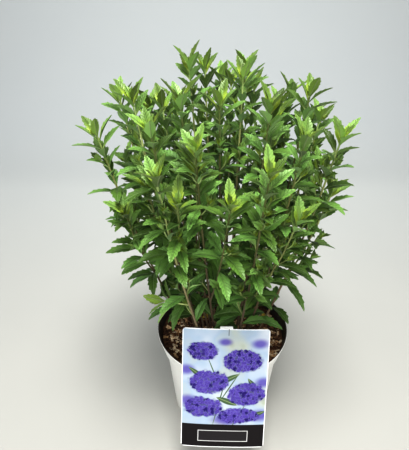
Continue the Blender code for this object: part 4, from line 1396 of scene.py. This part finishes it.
def copy_template(bm):
    """The corners and faces of a small bmesh, ready to be bent and laid out many times."""
    bm.verts.ensure_lookup_table()
    bm.verts.index_update()
    template = {
        "corners": np.array([vert.co[:] for vert in bm.verts]),
        "faces": [tuple(vert.index for vert in face.verts) for face in bm.faces],
        "finish": [face.material_index for face in bm.faces],
    }
    bm.free()
    return template


def leaf_template(stations):
    """A thin closed blade over (along, across, lift), whose teeth point forward. Its corners are laid
    out in a left-handed frame later on, so its upper face looks down here."""
    bm = bmesh.new()
    rows = len(stations) - 1
    for turn in (1, -1):
        verts = bmesh.ops.create_grid(bm, x_segments=BLADE_COLUMNS, y_segments=rows, size=1.0)["verts"]
        for vert in verts:
            side = vert.co.x
            rib, edge, width = stations[round((vert.co.y + 1) / 2 * rows)]
            inside = 0 < rib < 1 and abs(side) < 1 - MERGE
            belly = BLADE_BELLY * width * math.sin(math.pi * abs(side)) if inside else 0.0
            lift = belly + turn * BLADE_HALF_THICKNESS if inside else 0.0
            vert.co = Vector((rib + (edge - rib) * abs(side), side * width, lift))
        if turn < 0:
            faces = list({face for vert in verts for face in vert.link_faces})
            bmesh.ops.reverse_faces(bm, faces=faces)
            for face in faces:
                face.material_index = 1
    bmesh.ops.remove_doubles(bm, verts=bm.verts, dist=MERGE)
    return copy_template(bm)


def tube_template(rings):
    """A closed tube over (cos, sin, along), with a fan of faces at either end."""
    bm = bmesh.new()
    rows = rings + 2
    for vert in bmesh.ops.create_grid(bm, x_segments=TUBE_SIDES, y_segments=rows, size=1.0)["verts"]:
        turn = (vert.co.x + 1) * math.pi
        row = round((vert.co.y + 1) / 2 * rows)
        radius = 0.0 if row in (0, rows) else 1.0
        along = min(1.0, max(0.0, (row - 1) / rings))
        vert.co = Vector((radius * math.cos(turn), radius * math.sin(turn), along))
    bmesh.ops.remove_doubles(bm, verts=bm.verts, dist=MERGE)
    return copy_template(bm)


def bend_leaf(corners, leaf, rng):
    """Lays a blade's corners out along one leaf: arched, folded, and a little twisted and waved."""
    length, half_width, spread, arch = leaf["kind"]
    up = np.array(leaf["frame"]["up"])
    out = np.array(leaf["frame"]["out"])
    along, across, lift = corners.T
    turned = spread + arch * along
    face = np.outer(np.sin(turned), up) - np.outer(np.cos(turned), out)
    run_up = length / arch * (np.sin(turned) - math.sin(spread))
    run_out = length / arch * (math.cos(spread) - np.cos(turned)) - LEAF_ROOT_SINK
    width = half_width * across
    wave = BLADE_RIPPLE * half_width / FULL_HALF_WIDTH * across**2
    wave *= np.sin(along * rng.uniform(*BLADE_WAVES) + np.sign(across) + rng.uniform(0, math.tau))
    roll = rng.uniform(-BLADE_ROLL, BLADE_ROLL) * along
    height = lift + LEAF_FOLD * np.abs(width) + roll * width + wave
    sideways = width + rng.uniform(-BLADE_SWEEP, BLADE_SWEEP) * length * along**2
    spots = np.array(leaf["frame"]["place"]) + np.outer(run_out, out) + np.outer(run_up, up)
    return spots + np.outer(sideways, np.cross(out, up)) + face * height[:, None]


def resample(points, step):
    """Evenly spaced points along a shoot's line, with its corners eased."""
    line = np.array([point[:] for point in points])
    pieces = np.linalg.norm(np.diff(line, axis=0), axis=1)
    reached = np.concatenate(([0.0], np.cumsum(pieces)))
    count = max(2, round(reached[-1] / step))
    places = np.linspace(0.0, reached[-1], count + 1)
    even = np.stack([np.interp(places, reached, line[:, axis]) for axis in range(3)], axis=1)
    even[1:-1] = even[1:-1] * 0.5 + (even[:-2] + even[2:]) * 0.25
    return even, places


def bend_tube(corners, points, radii, rings):
    """Lays a tube's corners out along a shoot, tapering evenly from its foot to its tip."""
    line, places = resample(points, shoot_length(points) / rings)
    ahead = np.gradient(line, axis=0)
    ahead /= np.linalg.norm(ahead, axis=1)[:, None]
    side = np.cross(ahead, SIDE_HINT)
    side /= np.linalg.norm(side, axis=1)[:, None]
    other = np.cross(side, ahead)
    ring = np.round(corners[:, 2] * rings).astype(int)
    radius = np.linspace(radii[0], radii[-1], rings + 1)[ring]
    spots = line[ring] + side[ring] * (radius * corners[:, 0])[:, None]
    spots += other[ring] * (radius * corners[:, 1])[:, None]
    return spots, places[-1] - places[ring]


def new_growth():
    """Gathers the corners and faces of one leafy stem."""
    return {"spots": [], "faces": [], "finish": [], "age": [], "tone": [], "blade": [], "count": 0}


def gather(growth, template, spots, finish, age, tone):
    growth["faces"] += [tuple(corner + growth["count"] for corner in face) for face in template["faces"]]
    growth["finish"] += [finish + kind for kind in template["finish"]]
    growth["spots"].append(spots)
    growth["age"].append(np.broadcast_to(age, len(spots)))
    growth["tone"].append(np.full(len(spots), tone))
    along, across = template["corners"][:, 0], template["corners"][:, 1]
    growth["blade"].append(np.stack([across * 0.5 + 0.5, along], axis=1))
    growth["count"] += len(spots)


def gather_shoot(growth, shoot, templates, rng):
    """One shoot's tube and leaves, and those of its side shoots."""
    is_side = "start_age" in shoot
    rings = SIDE_TUBE_RINGS if is_side else max(2, round(shoot_length(shoot["points"]) / TUBE_STEP))
    tube = tube_template(rings)
    spots, from_tip = bend_tube(tube["corners"], shoot["points"], shoot["radii"], rings)
    age = np.minimum(1.0, from_tip / AGE_LENGTH + shoot.get("start_age", 0.0))
    gather(growth, tube, spots, 0, age, rng.uniform(-1, 1))
    for leaf in shoot["leaves"]:
        template = templates["small" if leaf["kind"][0] < SMALL_LEAF else "full"]
        age = min(1.0, leaf["distance"] / AGE_LENGTH + shoot.get("start_age", 0.0))
        spots = bend_leaf(template["corners"], leaf, rng)
        gather(growth, template, spots, 1, age, rng.uniform(-1, 1))
    for side in shoot["side_shoots"]:
        gather_shoot(growth, side, templates, rng)


def add_growth(name, growth, materials):
    """One leafy stem as a piece: stems, upper leaf faces and undersides in their own finishes."""
    mesh = bpy.data.meshes.new(name)
    mesh.from_pydata(np.concatenate(growth["spots"]).tolist(), [], growth["faces"])
    for material in materials:
        mesh.materials.append(material)
    mesh.polygons.foreach_set("material_index", growth["finish"])
    for layer in ("age", "tone"):
        attribute = mesh.attributes.new(layer, "FLOAT", "POINT")
        attribute.data.foreach_set("value", np.concatenate(growth[layer]).astype(np.float32))
    corner_verts = np.empty(len(mesh.loops), dtype=np.int32)
    mesh.loops.foreach_get("vertex_index", corner_verts)
    places = np.concatenate(growth["blade"])[corner_verts]
    mesh.uv_layers.new(name="blade").data.foreach_set("uv", places.astype(np.float32).ravel())
    mesh.shade_smooth()
    mesh.set_sharp_from_angle(angle=LEAF_SHARP_EDGE)
    obj = bpy.data.objects.new(name, mesh)
    bpy.context.scene.collection.objects.link(obj)
    return obj


def vein_group():
    """The midrib, and the side veins that slant forward from it, over a blade's own map."""
    group, source = new_group("leaf_veins", Place="Vector")
    place = axes(group, source["Place"])
    off = calculate(group, "ABSOLUTE", calculate(group, "MULTIPLY_ADD", place["X"], 2.0, -1.0))
    rib = soft_step(group, off, 0.13, 0.03)
    slanted = calculate(group, "MULTIPLY_ADD", off, -0.17, place["Y"])
    wave = calculate(group, "FRACT", multiply(group, slanted, 10.0))
    crest = calculate(group, "ABSOLUTE", calculate(group, "SUBTRACT", wave, 0.5))
    vein = multiply(group, soft_step(group, crest, 0.12, 0.02), soft_step(group, off, 1.0, 0.5))
    height = calculate(group, "ADD", multiply(group, rib, 1.6), vein)
    return close_group(group, Along=place["Y"], Rib=rib, Vein=vein, Height=height)


leaf_veins = vein_group()


def blade_veins(tree):
    uv = add_node(tree, "ShaderNodeUVMap", uv_map="blade").outputs[0]
    return use_group(tree, leaf_veins, Place=uv)


def grown_colour(tree, stops):
    """A colour that changes with age and varies in tone from leaf to leaf, and the age itself."""
    age = add_node(tree, "ShaderNodeAttribute", attribute_name="age").outputs["Fac"]
    tone = add_node(tree, "ShaderNodeAttribute", attribute_name="tone").outputs["Fac"]
    colour = colour_ramp(tree, age, stops)
    inputs = {
        "Hue": calculate(tree, "MULTIPLY_ADD", tone, 0.008, 0.5),
        "Saturation": calculate(tree, "MULTIPLY_ADD", tone, -0.08, 1.0),
        "Value": calculate(tree, "MULTIPLY_ADD", tone, 0.62, 1.0),
        "Color": colour,
    }
    return add_node(tree, "ShaderNodeHueSaturation", inputs).outputs[0], age


def leaf_upper():
    """The upper face: deep green, with a pale root and a yellow-green heart while it is young, the heart
    partly painted light shining through the young blade.
    """
    material, tree, shader = new_finish("leaf_upper", Specular_IOR_Level=0.38, Sheen_Weight=0.02)
    stops = (
        (0.0, 0.14, 0.22, 0.045),
        (0.015, 0.122, 0.205, 0.044),
        (0.06, 0.115, 0.205, 0.042),
        (0.2, 0.112, 0.214, 0.042),
        (0.5, 0.108, 0.21, 0.045),
        (1.0, 0.095, 0.19, 0.044),
    )
    colour, age = grown_colour(tree, stops)
    veins = blade_veins(tree)
    blotch = cloud(tree, object_place(tree), 160.0, 3.0)
    colour = blend_colours(tree, soft_step(tree, blotch, 0.35, 0.75), colour, (0.8, 0.86, 0.7, 1), "MULTIPLY")
    colour = tint(tree, veins["Vein"], 0.22, colour, (0.03, 0.1, 0.02, 1))
    colour = tint(tree, veins["Rib"], 0.4, colour, (0.2, 0.3, 0.11, 1))
    # The heart is partly the young leaf's own yellow-green and partly painted light, brightened to stand in
    # for light shining through the thin blade
    heart = multiply(tree, soft_step(tree, veins["Along"], 0.7, 0.15), soft_step(tree, age, 0.07, 0.012))
    colour = tint(tree, heart, 0.85, colour, (0.4, 0.52, 0.05, 1))
    root = multiply(tree, soft_step(tree, veins["Along"], 0.3, 0.04), soft_step(tree, age, 0.32, 0.05))
    colour = tint(tree, root, 0.75, colour, (0.4, 0.49, 0.19, 1))
    paint(tree, shader, colour, blotch, 0.3, 0.3)
    raise_surface(tree, shader, multiply(tree, veins["Height"], -1.0), 0.0004)
    return material


def leaf_underside():
    """The paler, greyer underside, downy and with a raised midrib and veins."""
    material, tree, shader = new_finish("leaf_underside", Specular_IOR_Level=0.22, Sheen_Weight=0.12)
    stops = (
        (0.0, 0.26, 0.39, 0.07),
        (0.03, 0.2, 0.33, 0.08),
        (0.15, 0.18, 0.3, 0.1),
        (0.4, 0.155, 0.26, 0.1),
        (1.0, 0.12, 0.2, 0.085),
    )
    colour = grown_colour(tree, stops)[0]
    veins = blade_veins(tree)
    colour = tint(tree, veins["Rib"], 0.6, colour, (0.32, 0.38, 0.2, 1))
    colour = tint(tree, veins["Vein"], 0.3, colour, (0.24, 0.32, 0.17, 1))
    down = cloud(tree, object_place(tree), 1500.0, 2.0)
    colour = blend_colours(tree, soft_step(tree, down, 0.55, 0.75), colour, (1.25, 1.25, 1.2, 1), "MULTIPLY")
    paint(tree, shader, colour, down, 0.25, 0.55)
    raise_surface(tree, shader, veins["Height"], 0.0003)
    return material


def stem_bark():
    """The shoot's skin: pale downy green at the tip, then olive, then brown bark with flecks."""
    material, tree, shader = new_finish("stem_bark", Specular_IOR_Level=0.3, Sheen_Weight=0.05)
    stops = (
        (0.0, 0.28, 0.36, 0.13),
        (0.25, 0.3, 0.31, 0.12),
        (0.5, 0.23, 0.205, 0.095),
        (0.8, 0.165, 0.125, 0.065),
        (1.0, 0.16, 0.118, 0.065),
    )
    colour, age = grown_colour(tree, stops)
    place = object_place(tree)
    drawn = add_node(tree, "ShaderNodeMapping", {"Vector": place, "Scale": (1.0, 1.0, 0.12)}).outputs[0]
    grain = cloud(tree, drawn, 1100.0, 3.0)
    ridged = multiply(tree, soft_step(tree, grain, 0.4, 0.65), age)
    colour = tint(tree, ridged, 0.6, colour, (0.07, 0.042, 0.028, 1))
    pores = multiply(tree, soft_step(tree, cloud(tree, place, 700.0, 1.0), 0.66, 0.72), age)
    colour = tint(tree, pores, 0.6, colour, (0.42, 0.33, 0.23, 1))
    paint(tree, shader, colour, grain, 0.3, 0.5)
    raise_surface(tree, shader, grain, 0.0002)
    return material


def withered_leaf():
    """A shed leaf: yellow, with brown spots."""
    material, tree, shader = new_finish("withered_leaf", Specular_IOR_Level=0.3)
    place = object_place(tree)
    spots = cloud(tree, place, 260.0, 3.0)
    stops = ((0.35, 0.55, 0.43, 0.06), (0.55, 0.42, 0.3, 0.05), (0.7, 0.16, 0.08, 0.03))
    colour = colour_ramp(tree, spots, stops)
    paint(tree, shader, colour, spots, 0.3, 0.45)
    raise_surface(tree, shader, spots, 0.0003)
    return material


def drop_leaves(template):
    """The shed leaves, each lying on the mix with its tip a little raised."""
    growth = new_growth()
    rng = random.Random(SHED_SEED)
    for x, y, heading, length, half_width in SHED_LEAVES:
        out = Vector((math.cos(heading), math.sin(heading), SHED_RISE)).normalized()
        up = Vector((-out.z * math.cos(heading), -out.z * math.sin(heading), out.xy.length))
        root = Vector((x, y, crumbly_height(x, y) + SHED_HEIGHT))
        leaf = {"frame": {"place": root, "up": up, "out": out}, "kind": (length, half_width, *SHED_OPENING)}
        gather(growth, template, bend_leaf(template["corners"], leaf, rng), 0, 1.0, 0.0)
    growth["finish"] = [0] * len(growth["finish"])
    leaves = add_growth("shed_leaves", growth, (withered_leaf(),))
    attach(leaves, "root")


def make_leafy_stems():
    crowd = new_crowd()
    fixed_guards(crowd)
    stems = lay_out_stems(crowd)
    shoots = [shoot for stem in stems for shoot in stem["shoots"]]
    place_leaves(shoots, LEAF_DISTANCES, crowd, random.Random(LEAF_SEED))
    rng = random.Random(FILLING_SEED)
    for shoot in shoots:
        fill_shoot(shoot, crowd, rng)
    for shoot in shoots:
        add_side_shoots(shoot, crowd, rng)
    templates = {"full": leaf_template(LEAF_STATIONS), "small": leaf_template(SMALL_LEAF_STATIONS)}
    finishes = (stem_bark(), leaf_upper(), leaf_underside())
    for i, stem in enumerate(stems):
        growth = new_growth()
        for shoot in stem["shoots"]:
            gather_shoot(growth, shoot, templates, rng)
        piece = add_growth(f"leafy_shoot_{i + 1:02d}", growth, finishes)
        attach(piece, "root")
        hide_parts(f"leafy_stem_{i + 1:02d}")
    drop_leaves(templates["small"])


make_leafy_stems()

# The studio
# The pot stands on a pale sheet that curves up into a grey-white backdrop, under five wide soft
# lights. It is seen from the front and above, as in the photograph.
SHEET_HALF_WIDTH = 2.2
SHEET_FRONT = -1.4
SHEET_BEND_FROM = 0.9
SHEET_BEND_RADIUS = 0.7
SHEET_BEND_STEPS = 12
SHEET_TOP = 2.4
CAMERA_PLACE = (-0.026, -0.474, 0.59)
CAMERA_TILT = math.radians(60)
CAMERA_LENS = 34.4
SENSOR = 36.0
# Area lights as (name, place, target, size, watts, colour)
LIGHTS = (
    ("overhead", (0.03, -0.4, 1.6), (0.0, 0.0, 0.2), 0.55, 31, (1.0, 0.985, 0.96)),
    ("front_fill", (-0.15, -1.6, 0.95), (0.0, 0.0, 0.15), 0.7, 14, (1.0, 0.99, 0.97)),
    ("right_fill", (1.3, -0.9, 0.7), (0.0, 0.0, 0.15), 1.0, 8, (1.0, 0.99, 0.97)),
    ("left_fill", (-1.2, -0.9, 0.8), (0.0, 0.0, 0.15), 1.0, 8, (0.97, 0.985, 1.0)),
    ("backdrop", (0.0, 0.3, 2.3), (0.0, 1.4, 0.0), 1.5, 14, (0.95, 0.98, 1.0)),
)
ROOM_COLOUR = (0.93, 0.95, 1.0, 1.0)
ROOM_LIGHT = 0.13
EXPOSURE = 0.27
GAMMA = 0.79


def backdrop_paper():
    material, tree, shader = new_finish("backdrop_paper", Specular_IOR_Level=0.2)
    place = object_place(tree)
    parts = axes(tree, place)
    # Painted light: the sheet's colour runs from darker on the near floor to lighter further back and up,
    # evening out how the lamps' light falls off
    stops = ((0.0, 0.36, 0.36, 0.34), (0.6, 0.53, 0.548, 0.54), (1.0, 0.525, 0.552, 0.56))
    far = calculate(tree, "MULTIPLY_ADD", parts["Y"], 0.6, parts["Z"])
    colour = colour_ramp(tree, soft_step(tree, far, -0.1, 0.9), stops)
    haze = cloud(tree, place, 3.0, 3.0)
    colour = tint(tree, haze, 0.12, colour, (0.7, 0.68, 0.62, 1))
    paint(tree, shader, colour, haze, 0.1, 0.8)
    return material


def make_backdrop():
    bm = bmesh.new()
    profile = [(SHEET_FRONT, 0.0), (SHEET_BEND_FROM, 0.0)]
    for i in range(1, SHEET_BEND_STEPS + 1):
        angle = math.radians(90 * i / SHEET_BEND_STEPS)
        y = SHEET_BEND_FROM + SHEET_BEND_RADIUS * math.sin(angle)
        profile.append((y, SHEET_BEND_RADIUS * (1 - math.cos(angle))))
    profile.append((SHEET_BEND_FROM + SHEET_BEND_RADIUS, SHEET_TOP))
    first = [bm.verts.new((-SHEET_HALF_WIDTH, y, z)) for y, z in profile]
    edges = [bm.edges.new(pair) for pair in zip(first, first[1:])]
    grown = bmesh.ops.extrude_edge_only(bm, edges=edges)["geom"]
    verts = [item for item in grown if isinstance(item, bmesh.types.BMVert)]
    bmesh.ops.translate(bm, verts=verts, vec=(2 * SHEET_HALF_WIDTH, 0, 0))
    bmesh.ops.recalc_face_normals(bm, faces=bm.faces)
    bm.normal_update()
    if sum(face.normal.z for face in bm.faces) < 0:
        bmesh.ops.reverse_faces(bm, faces=bm.faces)
    for face in bm.faces:
        face.smooth = True
    sheet = add_piece("backdrop", bm, (backdrop_paper(),))


def add_area_light(name, place, target, size, watts, colour):
    """A square area light aimed at a point."""
    light = bpy.data.lights.new(name, "AREA")
    light.shape = "SQUARE"
    light.size = size
    light.energy = watts
    light.color = colour
    obj = bpy.data.objects.new(name, light)
    obj.location = place
    obj.rotation_euler = (Vector(target) - Vector(place)).to_track_quat("-Z", "Y").to_euler()
    bpy.context.scene.collection.objects.link(obj)


def light_studio():
    for light in LIGHTS:
        add_area_light(*light)
    world = bpy.data.worlds.new("soft_room")
    world.use_nodes = True
    background = world.node_tree.nodes["Background"]
    background.inputs["Color"].default_value = ROOM_COLOUR
    background.inputs["Strength"].default_value = ROOM_LIGHT
    bpy.context.scene.world = world
    view = bpy.context.scene.view_settings
    view.view_transform = "Standard"
    view.exposure = EXPOSURE
    view.gamma = GAMMA


def add_camera():
    data = bpy.data.cameras.new("photo_camera")
    data.lens = CAMERA_LENS
    data.sensor_width = SENSOR
    data.sensor_fit = "AUTO"
    camera = bpy.data.objects.new("photo_camera", data)
    camera.location = CAMERA_PLACE
    camera.rotation_euler = (CAMERA_TILT, 0.0, 0.0)
    bpy.context.scene.collection.objects.link(camera)
    bpy.context.scene.camera = camera


make_backdrop()
light_studio()
add_camera()
